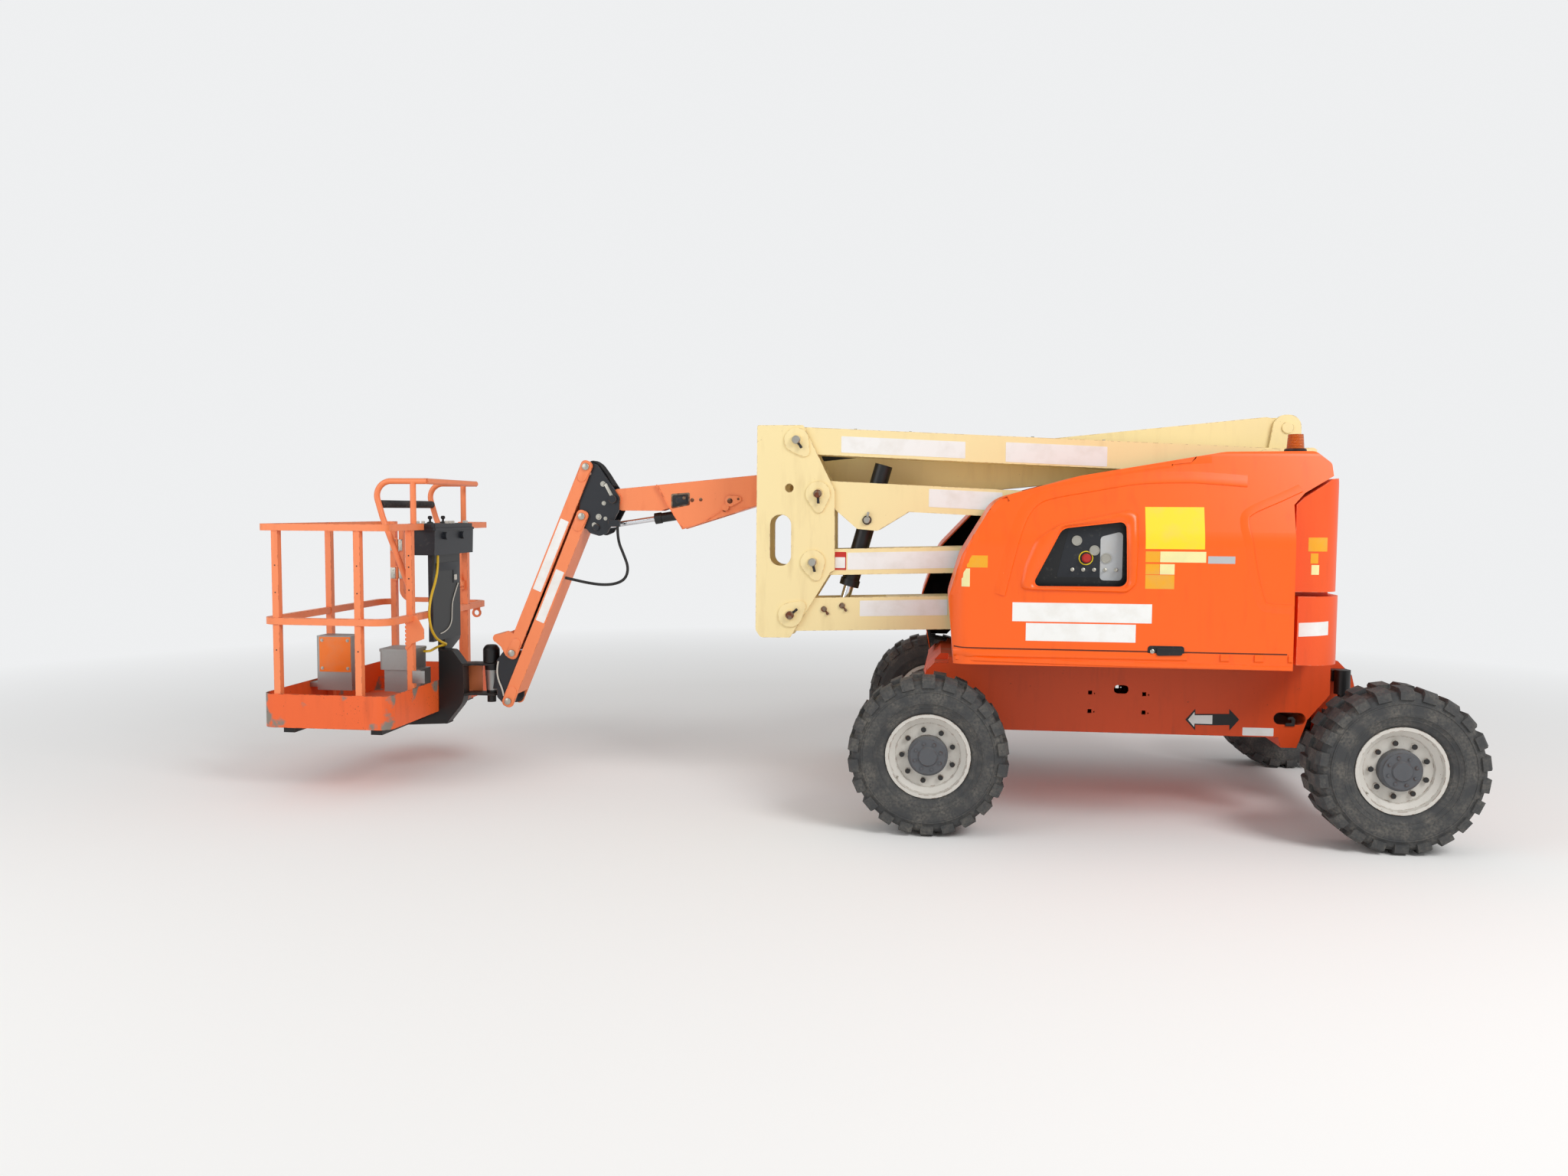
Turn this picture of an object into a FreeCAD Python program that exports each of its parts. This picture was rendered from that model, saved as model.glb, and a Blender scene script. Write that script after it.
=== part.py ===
import FreeCAD, Part
import math
import os

# Articulating boom lift: a four-wheel chassis, a turntable with two hoods, a two-stage
# parallelogram tower, a telescopic main boom, a parallelogram jib and a work platform.
# Origin: on the ground, midway between the axles, on the centre line.
# +X runs to the counterweight end, the platform is at -X, +Z is up, -Y is the panel side.
# Millimetres.

V = FreeCAD.Vector
os.makedirs("parts", exist_ok=True)

# Clearances
PIN_GAP = 0.3          # radial gap of a pin in its eye
SIDE_GAP = 6.0         # gap between plates that pass each other
SEAT_GAP = 0.3         # gap where a moving piece sits on what carries it

# Wheels and axles
WHEELBASE = 2340.0
TRACK = 2030.0
TYRE_R = 420.0
TYRE_W = 310.0
CARCASS_R = 398.0
RIM_R = 210.0
RIM_FLANGE_R = 222.0
HUB_R = 104.0
NUT_CIRCLE_R = 136.0
NUTS = 9
LUGS = 22
SPINDLE_R = 45.0
KINGPIN_R = 22.0
AXLE_X = WHEELBASE / 2
WHEEL_Y = TRACK / 2
KINGPIN_Y = WHEEL_Y - 195.0

# Chassis
CHASSIS_HALF_W = 500.0
CHASSIS_WALL = 12.0
CHASSIS_TOP = 870.0
CHASSIS_BOTTOM = 458.0
END_BEAM_HALF_W = 330.0
END_BEAM_BOTTOM = 560.0
RING_R = 340.0
RING_H = 25.0
DECK_Z = 935.0
DECK_T = 25.0

# Tower: y places of the plates and the pivots at rest, as (x, z)
TOWER_NEAR_Y = -380.0
TOWER_FAR_Y = -140.0
PLATE_T = 15.0
LINK_LEN = 2660.0
T4 = (670.0, 1160.0)
T3 = (800.0, 1470.0)
LOW_SLOPE = math.radians(1.66)
UP_SLOPE = math.radians(2.7)
LINK_WALL = 8.0
EAR_T = 20.0
TOWER_PIN_R = 30.0
EYE_R = 72.0


def along(point, length, angle):
    """Point at a distance from another, at an angle from +X towards +Z."""
    return (point[0] + length * math.cos(angle), point[1] + length * math.sin(angle))


P4 = along(T4, LINK_LEN, math.pi + LOW_SLOPE)
P3 = along(T3, LINK_LEN, math.pi + LOW_SLOPE)
P2 = (P4[0] + 159.0, P4[1] + 712.0)
P1 = (P2[0] - 128.0, P2[1] + 312.0)
U1 = along(P1, LINK_LEN, -UP_SLOPE)
U2 = along(P2, LINK_LEN, -UP_SLOPE)
TRUNNION = (P2[0] + 286.0, P2[1] - 152.0)
TOWER_EYE = (P4[0] + 304.0, P4[1] + 58.0)

# Main boom
BOOM_PIVOT = (852.0, 2188.0)
BOOM_AXIS_AT = (-2233.0, 1819.0)
BOOM_SLOPE = math.radians(5.68)
BOOM_W = 200.0
BOOM_H = 270.0
BOOM_WALL = 8.0
BOOM_LEFT = -2100.0
BOOM_RIGHT = 900.0
FLY_W = 160.0
FLY_H = 185.0
FLY_WALL = 9.0
FLY_INNER_END = 380.0
PAD_LEN = 90.0
LIFT_BASE = (770.0, 1700.0)
LIFT_EYE = (-150.0, 1845.0)

# Fly end, knuckle and jib
FLY_PIN = (-3140.0, 1760.0)
LEVEL_BASE = (-2430.0, 1712.0)
LEVEL_EYE = (-3248.0, 1585.0)
LEVEL_STROKE = 270.0
NECK_HALF_W = 62.0
KNUCKLE_IN = 68.0
KNUCKLE_T = 16.0
JIB_FLANGE_IN = KNUCKLE_IN + KNUCKLE_T + SIDE_GAP
JIB_FLANGE_T = 12.0
JIB_HALF_W = JIB_FLANGE_IN + JIB_FLANGE_T
JIB_HALF_H = 38.0
JIB_WALL = 8.0
JIB_PIN_R = 20.0
J1 = (-3308.0, 1961.0)
J2 = (-3336.0, 1653.0)
JIB_RUN = (-489.0, -1175.0)
K1 = (J1[0] + JIB_RUN[0], J1[1] + JIB_RUN[1])
K2 = (J2[0] + JIB_RUN[0], J2[1] + JIB_RUN[1])
JIB_LEN = math.hypot(JIB_RUN[0], JIB_RUN[1])
JIB_ANGLE = math.atan2(JIB_RUN[1], JIB_RUN[0])

# Rotator and platform
ROTATOR_X = -3972.0
ROTATOR_LOW = 502.0
ROTATOR_TOP = 708.0
ROTATOR_SHAFT_R = 18.0
ROTATOR_CAP_R = 53.0
FORK_T = 14.0
FORK_HALF_W = 55.0
BEAM_Y = (-100.0, -10.0)
PLAT_X = -4690.0
PLAT_HALF_X = 400.0
PLAT_HALF_Y = 790.0
PLAT_LEFT = PLAT_X - PLAT_HALF_X
PLAT_RIGHT = PLAT_X + PLAT_HALF_X
TRAY_LOW = 400.0
TRAY_TOP = 600.0
TRAY_WALL = 5.0
TRAY_CORNER = 80.0
FLOOR_T = 6.0
RAIL_S = 40.0
MID_RAIL_Z = 1030.0
TOP_RAIL_Z = 1583.0
RING_HOLE_R = 18.0
RING_OUTER_R = 32.0
RING_T = 12.0
RING_Y = 600.0
RING_DROP = 56.0

# Hoods: outer face, inner edge and wall
HOOD_OUT_Y = 1080.0
NEAR_HOOD_IN_Y = 430.0
FAR_HOOD_IN_Y = 165.0
HOOD_WALL = 8.0
HOOD_BOTTOM = 903.0
HOOD_HINGE_X = (415.0, 595.0)
HOOD_HINGE_NEAR_Y = 460.0
HOOD_HINGE_FAR_Y = 195.0
HOOD_HINGE_Z = 1980.0
HOOD_ROOF = 2013.0


def to_3d(a, b, level, normal):
    """Point of an outline: (x, z) for normal Y, (x, y) for Z and (y, z) for X."""
    if normal == "Y":
        return V(a, level, b)
    if normal == "Z":
        return V(a, b, level)
    return V(level, a, b)


def outline(points, level, normal="Y"):
    """Closed wire; a point is (a, b) or (a, b, corner radius)."""
    count = len(points)
    corners = []
    for i in range(count):
        here = points[i]
        if len(here) < 3:
            corners.append((here, here, None))
            continue
        before = points[i - 1]
        after = points[(i + 1) % count]
        a1 = math.atan2(before[1] - here[1], before[0] - here[0])
        a2 = math.atan2(after[1] - here[1], after[0] - here[0])
        half = abs((a2 - a1 + math.pi) % (2 * math.pi) - math.pi) / 2
        reach = here[2] / math.tan(half)
        start = along(here, reach, a1)
        end = along(here, reach, a2)
        middle = math.atan2(math.sin(a1) + math.sin(a2), math.cos(a1) + math.cos(a2))
        top = along(here, here[2] / math.sin(half) - here[2], middle)
        corners.append((start, end, top))
    edges = []
    for i in range(count):
        start, end, top = corners[i]
        if top is not None:
            arc = Part.Arc(
                to_3d(*start[:2], level, normal),
                to_3d(*top[:2], level, normal),
                to_3d(*end[:2], level, normal),
            )
            edges.append(arc.toShape())
        follow = corners[(i + 1) % count][0]
        if math.hypot(follow[0] - end[0], follow[1] - end[1]) > 0.01:
            first = to_3d(*end[:2], level, normal)
            last = to_3d(*follow[:2], level, normal)
            edges.append(Part.LineSegment(first, last).toShape())
    return Part.Wire(edges)


def prism(points, low, high, normal="Y"):
    """Extrude an outline between two levels along its normal."""
    step = {"X": V(1, 0, 0), "Y": V(0, 1, 0), "Z": V(0, 0, 1)}[normal]
    return Part.Face(outline(points, low, normal)).extrude(step * (high - low))


def box(x0, x1, y0, y1, z0, z1):
    """Box between two corners."""
    return Part.makeBox(x1 - x0, y1 - y0, z1 - z0, V(x0, y0, z0))


def cyl_y(at, r, y0, y1):
    """Cylinder along Y at (x, z)."""
    return Part.makeCylinder(r, y1 - y0, V(at[0], y0, at[1]), V(0, 1, 0))


def cyl_z(x, y, r, z0, z1):
    """Cylinder along Z."""
    return Part.makeCylinder(r, z1 - z0, V(x, y, z0), V(0, 0, 1))


def bar(p, q, r):
    """Round bar between two points."""
    start = V(*p)
    run = V(*q) - start
    return Part.makeCylinder(r, run.Length, start, run)


def fuse(shapes):
    """One solid from overlapping pieces."""
    first = shapes[0]
    if len(shapes) > 1:
        first = first.multiFuse(shapes[1:])
    return first.removeSplitter()


def mirror_y(shape):
    """Copy mirrored in the centre plane."""
    return shape.mirror(V(0, 0, 0), V(0, 1, 0))


def save(name, shape):
    """Write one node."""
    shape.exportStep("parts/%s.step" % name)


def turned(shape, at, angle):
    """Copy turned about Y at (x, z), counterclockwise as seen from -Y."""
    copy = shape.copy()
    copy.rotate(V(at[0], 0, at[1]), V(0, 1, 0), -math.degrees(angle))
    return copy


def moved(points, at):
    """Outline given from a point, put in its place."""
    return [(at[0] + p[0], at[1] + p[1]) + tuple(p[2:]) for p in points]


def span(start, end, back, front, low, high, y0, y1):
    """Box along the line from one (x, z) point towards another, in the line's own frame."""
    angle = math.atan2(end[1] - start[1], end[0] - start[0])
    piece = box(start[0] + back, start[0] + front, y0, y1, start[1] + low, start[1] + high)
    return turned(piece, start, angle)


# Wheels

def tyre():
    """Tyre about the Y axis at the origin, outboard side at +Y."""
    # a: along the axle, r: from the axle
    half = TYRE_W / 2
    profile = [
        (-111.7, RIM_R + 0.3), (-111.7, 224), (-128, 236), (-half + 3, 290), (-half + 3, 338),
        (-half + 14, 378), (-118, CARCASS_R), (118, CARCASS_R), (half - 14, 378),
        (half - 3, 338), (half - 3, 290), (128, 236), (111.7, 224), (111.7, RIM_R + 0.3),
    ]
    body = Part.Face(outline(profile, 0, "X")).revolve(V(0, 0, 0), V(0, 1, 0), 360)
    section = [
        (12, CARCASS_R - 8), (12, TYRE_R - 2), (122, TYRE_R - 2), (half - 4, TYRE_R - 18),
        (half, TYRE_R - 56), (half - 16, TYRE_R - 62),
    ]
    block = prism(section, -33, 33, "X")
    lugs = []
    for i in range(LUGS):
        step = 360.0 / LUGS
        lug = block.copy()
        lug.rotate(V(0, 0, 0), V(0, 1, 0), i * step)
        other = mirror_y(block)
        other.rotate(V(0, 0, 0), V(0, 1, 0), (i + 0.5) * step)
        lugs += [lug, other]
    return body.multiFuse(lugs)


def rim():
    """Rim with a dished disc and wheel nuts, outboard side at +Y."""
    profile = [
        (-120, 200), (-120, RIM_FLANGE_R), (-112, RIM_FLANGE_R), (-112, RIM_R), (112, RIM_R),
        (112, RIM_FLANGE_R), (120, RIM_FLANGE_R), (120, 204), (96, 200), (78, 172),
        (65, 168), (65, HUB_R + 1), (53, HUB_R + 1), (53, 172), (66, 180), (80, 200),
    ]
    body = Part.Face(outline(profile, 0, "X")).revolve(V(0, 0, 0), V(0, 1, 0), 360)
    nuts = []
    for i in range(NUTS):
        angle = 2 * math.pi * (i + 0.5) / NUTS
        x = NUT_CIRCLE_R * math.cos(angle)
        z = NUT_CIRCLE_R * math.sin(angle)
        hexagon = [along((x, z), 15, math.pi / 3 * k) for k in range(6)]
        nuts.append(prism(hexagon, 60, 82))
    return body.multiFuse(nuts)


def hub():
    """Planetary hub with its cap, outboard side at +Y, bored for the spindle."""
    profile = [
        (-103, SPINDLE_R + PIN_GAP), (-103, HUB_R - 14), (-60, HUB_R - 10), (38, HUB_R - 4),
        (38, 158), (52.7, 158), (52.7, HUB_R), (104, HUB_R), (116, 92), (122, 92), (122, 52),
        (130, 46), (130, 0), (0, 0), (0, SPINDLE_R + PIN_GAP),
    ]
    return Part.Face(outline(profile, 0, "X")).revolve(V(0, 0, 0), V(0, 1, 0), 360)


def make_wheels():
    """Twelve nodes, three for each wheel."""
    pieces = {"tyre": tyre(), "rim": rim(), "hub": hub()}
    places = [
        ("drive_near", -AXLE_X, -1), ("drive_far", -AXLE_X, 1),
        ("steer_near", AXLE_X, -1), ("steer_far", AXLE_X, 1),
    ]
    for name, x, side in places:
        for kind, piece in pieces.items():
            copy = piece.copy() if side > 0 else mirror_y(piece)
            copy.translate(V(x, side * WHEEL_Y, TYRE_R))
            save("%s_%s" % (kind, name), copy)


HUB_INNER_Y = WHEEL_Y - 103.0
SPINDLE_END_Y = WHEEL_Y - 1.0


def make_drive_axle():
    """Drive axle: differential, tapered tubes and fixed spindles."""
    at = (-AXLE_X, TYRE_R)
    diff = Part.makeSphere(138, V(at[0], 0, at[1]))
    neck = bar((at[0], 0, at[1]), (at[0] + 260, 0, at[1] + 20), 62)
    pieces = [diff, neck]
    flange_y = WHEEL_Y - 285
    for side in (-1, 1):
        way = V(0, side, 0)
        tube = Part.makeCone(95, 68, flange_y - 90, V(at[0], side * 90, at[1]), way)
        flange = Part.makeCylinder(105, HUB_INNER_Y - SEAT_GAP - flange_y,
                                   V(at[0], side * flange_y, at[1]), way)
        spindle = Part.makeCylinder(SPINDLE_R, SPINDLE_END_Y - flange_y,
                                    V(at[0], side * flange_y, at[1]), way)
        pad = box(at[0] - 70, at[0] + 70, side * 290 - 55, side * 290 + 55, at[1] + 20,
                  END_BEAM_BOTTOM)
        pieces += [tube, flange, spindle, pad]
    save("drive_axle", fuse(pieces))


def make_steer_axle():
    """Oscillating steer axle: beam, king pin forks and the two king pins."""
    half = KINGPIN_Y - 120
    beam = prism([(-half, 350), (-half, 490), (-200, 520), (200, 520), (half, 490), (half, 350),
                  (200, 330), (-200, 330)], AXLE_X - 65, AXLE_X + 65, "X")
    pieces = [beam]
    arm = [(AXLE_X - 65, half - 20), (AXLE_X + 65, half - 20), (AXLE_X + 48, KINGPIN_Y + 40, 30),
           (AXLE_X - 48, KINGPIN_Y + 40, 30)]
    for side in (-1, 1):
        for low, high in ((TYRE_R - 125, TYRE_R - 97), (TYRE_R + 97, TYRE_R + 125)):
            plate = prism(arm, low, high, "Z")
            pieces.append(plate if side > 0 else mirror_y(plate))
        low, high = sorted((side * (half - 10), side * (half + 20)))
        pieces.append(box(AXLE_X - 65, AXLE_X + 65, low, high, TYRE_R - 125, TYRE_R + 125))
        pieces.append(cyl_z(AXLE_X, side * KINGPIN_Y, KINGPIN_R, TYRE_R - 130, TYRE_R + 135))
    pieces.append(bar((AXLE_X - 150, 0, 470), (AXLE_X + 150, 0, 470), 48))
    # Steering cylinder behind the beam
    pieces.append(bar((AXLE_X - 175, -230, 395), (AXLE_X - 175, 230, 395), 40))
    pieces.append(box(AXLE_X - 175, AXLE_X - 60, -60, 60, 365, 409))
    save("steer_axle", fuse(pieces))


def make_knuckles():
    """Steering knuckles with the spindles of the steered wheels."""
    for name, side in (("near", -1), ("far", 1)):
        y = side * KINGPIN_Y
        barrel = cyl_z(AXLE_X, y, 50, TYRE_R - 97 + SEAT_GAP, TYRE_R + 97 - SEAT_GAP)
        web = Part.makeCylinder(80, HUB_INNER_Y - SEAT_GAP - KINGPIN_Y - 42,
                                V(AXLE_X, side * (KINGPIN_Y + 42), TYRE_R), V(0, side, 0))
        spindle = Part.makeCylinder(SPINDLE_R, SPINDLE_END_Y - KINGPIN_Y - 30,
                                    V(AXLE_X, side * (KINGPIN_Y + 30), TYRE_R), V(0, side, 0))
        arm = box(AXLE_X - 150, AXLE_X, y - 16, y + 16, TYRE_R - 60, TYRE_R - 30)
        knuckle = fuse([barrel, web, spindle, arm])
        bore = cyl_z(AXLE_X, y, KINGPIN_R + PIN_GAP, 200, 700)
        save("steer_knuckle_%s" % name, knuckle.cut(bore))


# Chassis

def make_chassis():
    """Hollow chassis weldment with holed side plates and end beams."""
    low = CHASSIS_BOTTOM
    left = -AXLE_X
    right = AXLE_X
    # The corners beside the drive wheels are cut down so that the far hood's skirt clears them
    side = [(left + 108, CHASSIS_TOP), (left + 104, 834), (left + 29, 834), (left - 13, 791),
            (left + 20, 700), (left + 380, low),
            (right - 420, low), (right - 405, 402), (right - 320, 402), (right - 268, 560),
            (right - 155, 700), (right - 155, CHASSIS_TOP)]
    middle = prism(side, -CHASSIS_HALF_W, CHASSIS_HALF_W)
    hollow = [(left + 124, 850), (left + 120, 818), (left + 36, 818), (left + 8, 786),
              (left + 34, 710), (left + 386, low + 16),
              (right - 408, low + 16), (right - 345, low + 16), (right - 282, 566),
              (right - 171, 706), (right - 171, 850)]
    inner = CHASSIS_HALF_W - CHASSIS_WALL
    middle = middle.cut(prism(hollow, -inner, inner))
    bottom = END_BEAM_BOTTOM
    end = [(left + 240, CHASSIS_TOP), (left + 64, CHASSIS_TOP), (left - 13, 791),
           (left - 70, bottom), (left + 70, bottom), (left + 130, 600), (left + 265, 600)]
    beam = prism(end, -END_BEAM_HALF_W, END_BEAM_HALF_W)
    void = [(left + 250, 850), (left + 75, 850), (left + 5, 786), (left - 35, bottom + 16),
            (left + 70, bottom + 16), (left + 135, 616), (left + 275, 616)]
    beam = beam.cut(prism(void, -END_BEAM_HALF_W + 40, END_BEAM_HALF_W - 40))
    other = beam.mirror(V(0, 0, 0), V(1, 0, 0))
    frame = middle.multiFuse([beam, other])
    # The steered end is cut back over its axle, which hangs on a cross pin
    frame = frame.cut(box(right - 135, right + 230, -400, 400, 500, 585))
    seat = 66 + SEAT_GAP
    inner_lug = [(-110, 620), (-seat, 620), (-seat, 415), (-110, 415)]
    outer_lug = [(seat, 415), (110, 415), (110, 640), (40, 640), (40, 620), (seat, 620)]
    frame = frame.multiFuse([prism(moved(lug, (right, 0)), -90, 90)
                             for lug in (inner_lug, outer_lug)])
    frame = frame.cut(bar((right - 160, 0, 470), (right + 160, 0, 470), 48 + PIN_GAP))
    holes = []
    for x, z in ((-270, 683), (26, 681), (-271, 578), (25, 578)):
        holes.append(box(x - 11, x + 11, -700, 700, z - 11, z + 11))
        holes.append(cyl_y((x + 24, z - 4), 4, -700, 700))
    holes.append(prism([(-140, 681, 22), (-60, 681, 22), (-60, 729, 22), (-140, 729, 22)],
                       -700, 700))
    slot = [(-446, 530, 33), (-278, 530, 33), (-278, 598, 33), (-446, 598, 33)]
    holes.append(prism(moved(slot, (right, 0)), -700, 700))
    for hole in holes:
        frame = frame.cut(hole)
    ring = cyl_z(0, 0, RING_R, CHASSIS_TOP - 2, CHASSIS_TOP + RING_H)
    frame = frame.fuse(ring).removeSplitter()
    save("chassis_frame", frame)
    # The lock-out cylinders stand on the frame end beside the oscillating axle
    cylinders = []
    x = right - 70
    for side in (-1, 1):
        y = side * 430
        edges = sorted((side * END_BEAM_HALF_W, side * 412))
        bracket = box(x - 50, x + 50, edges[0], edges[1], 765, 828)
        barrel = bar((x, y, 834), (x, y, 700), 42)
        rod = bar((x, y, 702), (x, y, 640), 22)
        cylinders.append(fuse([bracket, barrel, rod]))
    save("lockout_cylinders", Part.makeCompound(cylinders))


# Turntable

def make_turntable():
    """Deck plate on the slewing ring, pedestal plates and pivots of the lower links."""
    ring = cyl_z(0, 0, RING_R - 10, CHASSIS_TOP + RING_H + SEAT_GAP, DECK_Z + 2)
    deck = prism([(-960, -1000, 60), (630, -1000), (630, 1000), (-960, 1000, 60)],
                 DECK_Z, DECK_Z + DECK_T, "Z")
    stem = [(540, DECK_Z + 5), (684, DECK_Z + 5), (684, 1282), (890, 1282, 20), (890, 1540, 60),
            (730, 1540, 60), (580, 1240)]
    pieces = [ring, deck]
    for y in (TOWER_NEAR_Y, TOWER_FAR_Y - PLATE_T):
        pieces.append(prism(stem, y, y + PLATE_T))
    pieces.append(box(540, 560, TOWER_NEAR_Y, TOWER_FAR_Y, DECK_Z + 5, 1050))
    pieces.append(box(872, 890, TOWER_NEAR_Y, TOWER_FAR_Y, 1300, 1380))
    for at in (T3, T4):
        pieces.append(cyl_y(at, TOWER_PIN_R, TOWER_NEAR_Y - 14, TOWER_FAR_Y + 10))
        for y in (TOWER_NEAR_Y + PLATE_T, TOWER_FAR_Y - PLATE_T - 4.7):
            pieces.append(cyl_y(at, EYE_R - 12, y, y + 4.7))
    for y in (-HOOD_HINGE_NEAR_Y, HOOD_HINGE_FAR_Y):
        for x in HOOD_HINGE_X:
            pieces.append(box(x - 15, x + 15, y - 20, y + 20, DECK_Z + 5, HOOD_HINGE_Z))
            pieces.append(bar((x - 45, y, HOOD_HINGE_Z), (x + 45, y, HOOD_HINGE_Z), 8))
            pieces.append(bar((x - 15, y, HOOD_HINGE_Z), (x + 15, y, HOOD_HINGE_Z), 14))
        pieces.append(box(HOOD_HINGE_X[0], HOOD_HINGE_X[1], y - 15, y + 15, 1900, 1940))
    save("turntable_deck", fuse(pieces))


def make_counterweight():
    """Lower and upper counterweights behind the hoods."""
    corner = 170
    plan = [(687, -1000), (924, -1000, corner), (924, 1000, corner), (687, 1000)]
    lower = prism(plan, 923, 1275, "Z")
    lower = lower.cut(box(600, 780, -395, -125, 1030, 1300))
    foot = box(560, 690, -120, 150, DECK_Z + DECK_T, 1040)
    save("counterweight_lower", lower.fuse(foot).removeSplitter())
    blocks = []
    top = [(665, 1298), (906, 1298), (906, 1800), (890, 1876), (845, 1872), (700, 1776),
           (665, 1740)]
    for y0, y1 in ((-1000, -400), (170, 1000)):
        block = prism(top, y0, y1)
        cheek = [(600, y0), (906, y0, 150), (906, y1, 20), (600, y1)]
        if y0 > 0:
            cheek = [(600, y0), (906, y0, 20), (906, y1, 150), (600, y1)]
        block = block.common(prism(cheek, 1200, 1950, "Z"))
        foot = box(700, 860, max(y0, -960) + 60, min(y1, 960) - 60, 1275, 1300)
        blocks.append(block.fuse(foot).removeSplitter())
    save("counterweight_upper", Part.makeCompound(blocks))


def make_machinery():
    """Engine block, tank and ground control panel."""
    save("engine", box(-560, 260, 380, 930, DECK_Z + DECK_T, 1540))
    tank = [(60, DECK_Z + DECK_T), (600, DECK_Z + DECK_T), (600, 1420, 60), (60, 1420, 60)]
    save("fluid_tank", prism(tank, -980, -520))
    panel = prism([(-700, 1270, 25), (-120, 1270, 25), (-120, 1690, 25), (-560, 1690, 40)],
                  -1010, -975)
    stand = box(-640, -560, -1000, -940, DECK_Z + DECK_T, 1300)
    other = box(-260, -180, -1000, -940, DECK_Z + DECK_T, 1300)
    back = box(-560, -180, -976, -900, 1290, 1660)
    save("ground_panel", fuse([panel, stand, other, back]))


def hood_shell(side, section, plan):
    """Shell from the overlap of a side, a section and a plan outline, open below and inwards."""
    def solid(outlines):
        body = prism(outlines[0], -1300, 1300)
        body = body.common(prism(outlines[1], -1400, 1000, "X"))
        return body.common(prism(outlines[2], 700, 2200, "Z"))
    drop = 3 * HOOD_WALL
    inner_side = []
    for point in offset(side, HOOD_WALL):
        low = point[1] < HOOD_BOTTOM + drop
        inner_side.append((point[0], point[1] - drop) if low else point)
    shifted = []
    for outlines, key in ((section, 0), (plan, 1)):
        inner_y = min(abs(p[key]) for p in outlines)
        points = []
        for point in offset(outlines, HOOD_WALL):
            values = list(point)
            if abs(values[key]) < inner_y + 2 * HOOD_WALL:
                values[key] -= math.copysign(drop, values[key])
            if key == 0 and values[1] < 1000:
                values[1] -= drop
            points.append(tuple(values))
        shifted.append(points)
    shell = solid([side, section, plan])
    return shell.cut(solid([inner_side] + shifted))


def hood_lugs(y):
    """Bored lugs under a hood's roof beside the posts that carry its hinge pins."""
    lugs = []
    for x in HOOD_HINGE_X:
        for x0, x1 in ((x - 42, x - 15.5), (x + 15.5, x + 42)):
            lugs.append(box(x0, x1, y - 16, y + 16, HOOD_HINGE_Z - 16, HOOD_ROOF - 2))
    bore = bar((300, y, HOOD_HINGE_Z), (700, y, HOOD_HINGE_Z), 8 + PIN_GAP)
    return [lug.cut(bore) for lug in lugs]


def offset(points, inset):
    """Outline moved inwards by an inset, corner radii kept no smaller than 5."""
    count = len(points)
    result = []
    turn = sum(points[i - 1][0] * points[i][1] - points[i][0] * points[i - 1][1]
               for i in range(count))
    sign = 1 if turn > 0 else -1
    for i in range(count):
        before = points[i - 1]
        here = points[i]
        after = points[(i + 1) % count]
        d1 = V(here[0] - before[0], here[1] - before[1], 0).normalize()
        d2 = V(after[0] - here[0], after[1] - here[1], 0).normalize()
        n1 = V(-d1.y, d1.x, 0) * sign
        n2 = V(-d2.y, d2.x, 0) * sign
        grow = inset / (1 + n1.dot(n2))
        x = here[0] + (n1.x + n2.x) * grow
        y = here[1] + (n1.y + n2.y) * grow
        if len(here) > 2:
            result.append((x, y, max(here[2] - inset, 5)))
        else:
            result.append((x, y))
    return result


HOOD_BACK = [(HOOD_HINGE_X[0] - 92, HOOD_ROOF - 3, 300), (700, HOOD_ROOF), (764, HOOD_ROOF, 50),
             (838, 1950, 30), (843, 1886), (700, 1800), (645, 1740)]
NEAR_SIDE = [
    (-1045, HOOD_BOTTOM), (-1050, 985), (-1074, 1247, 120), (-1010, 1470, 200),
    (-832, 1768, 160), (-411, 1884, 500),
] + HOOD_BACK + [(650, HOOD_BOTTOM)]
FAR_SIDE = [
    (-1175, 840), (-1235, 1160, 120), (-1130, 1470, 200), (-850, 1768, 160), (-411, 1884, 500),
] + HOOD_BACK + [(650, HOOD_BOTTOM), (-1000, HOOD_BOTTOM), (-1060, 840)]
WINDOW = [(-650, 1315, 25), (-500, 1612, 60), (-180, 1650, 30), (-172, 1318, 40)]


def hood(side, outer_y, inner_y):
    """One hood from its side outline and the y of its outer and inner faces."""
    way = math.copysign(1, outer_y)
    section = [(outer_y, 700), (outer_y, 1560, 300), (outer_y - way * 130, HOOD_ROOF + 17, 60),
               (inner_y, HOOD_ROOF + 27), (inner_y, 700)]
    plan = [(-1240, outer_y, 110), (900, outer_y, 40), (900, inner_y), (-1240, inner_y)]
    front = min(point[0] for point in side)
    plan[0] = (front - 5, outer_y, 110)
    plan[3] = (front - 5, inner_y)
    return hood_shell(side, section, plan)


def make_hoods():
    """Two hinged hoods, open below and towards the boom."""
    near = hood(NEAR_SIDE, -HOOD_OUT_Y, -NEAR_HOOD_IN_Y)
    near = near.cut(prism(WINDOW, -1300, -950))
    near = near.multiFuse(hood_lugs(-HOOD_HINGE_NEAR_Y))
    save("near_hood", near.removeSplitter())
    far = hood(FAR_SIDE, HOOD_OUT_Y, FAR_HOOD_IN_Y)
    far = far.multiFuse(hood_lugs(HOOD_HINGE_FAR_Y))
    save("far_hood", far.removeSplitter())


def make_beacon():
    """Beacon on the near hood."""
    x = 720
    base = cyl_z(x, -750, 52, HOOD_ROOF, HOOD_ROOF + 22)
    lens = Part.makeCone(44, 38, 75, V(x, -750, HOOD_ROOF + 22), V(0, 0, 1))
    save("beacon", fuse([base, lens]))


# Tower

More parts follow.
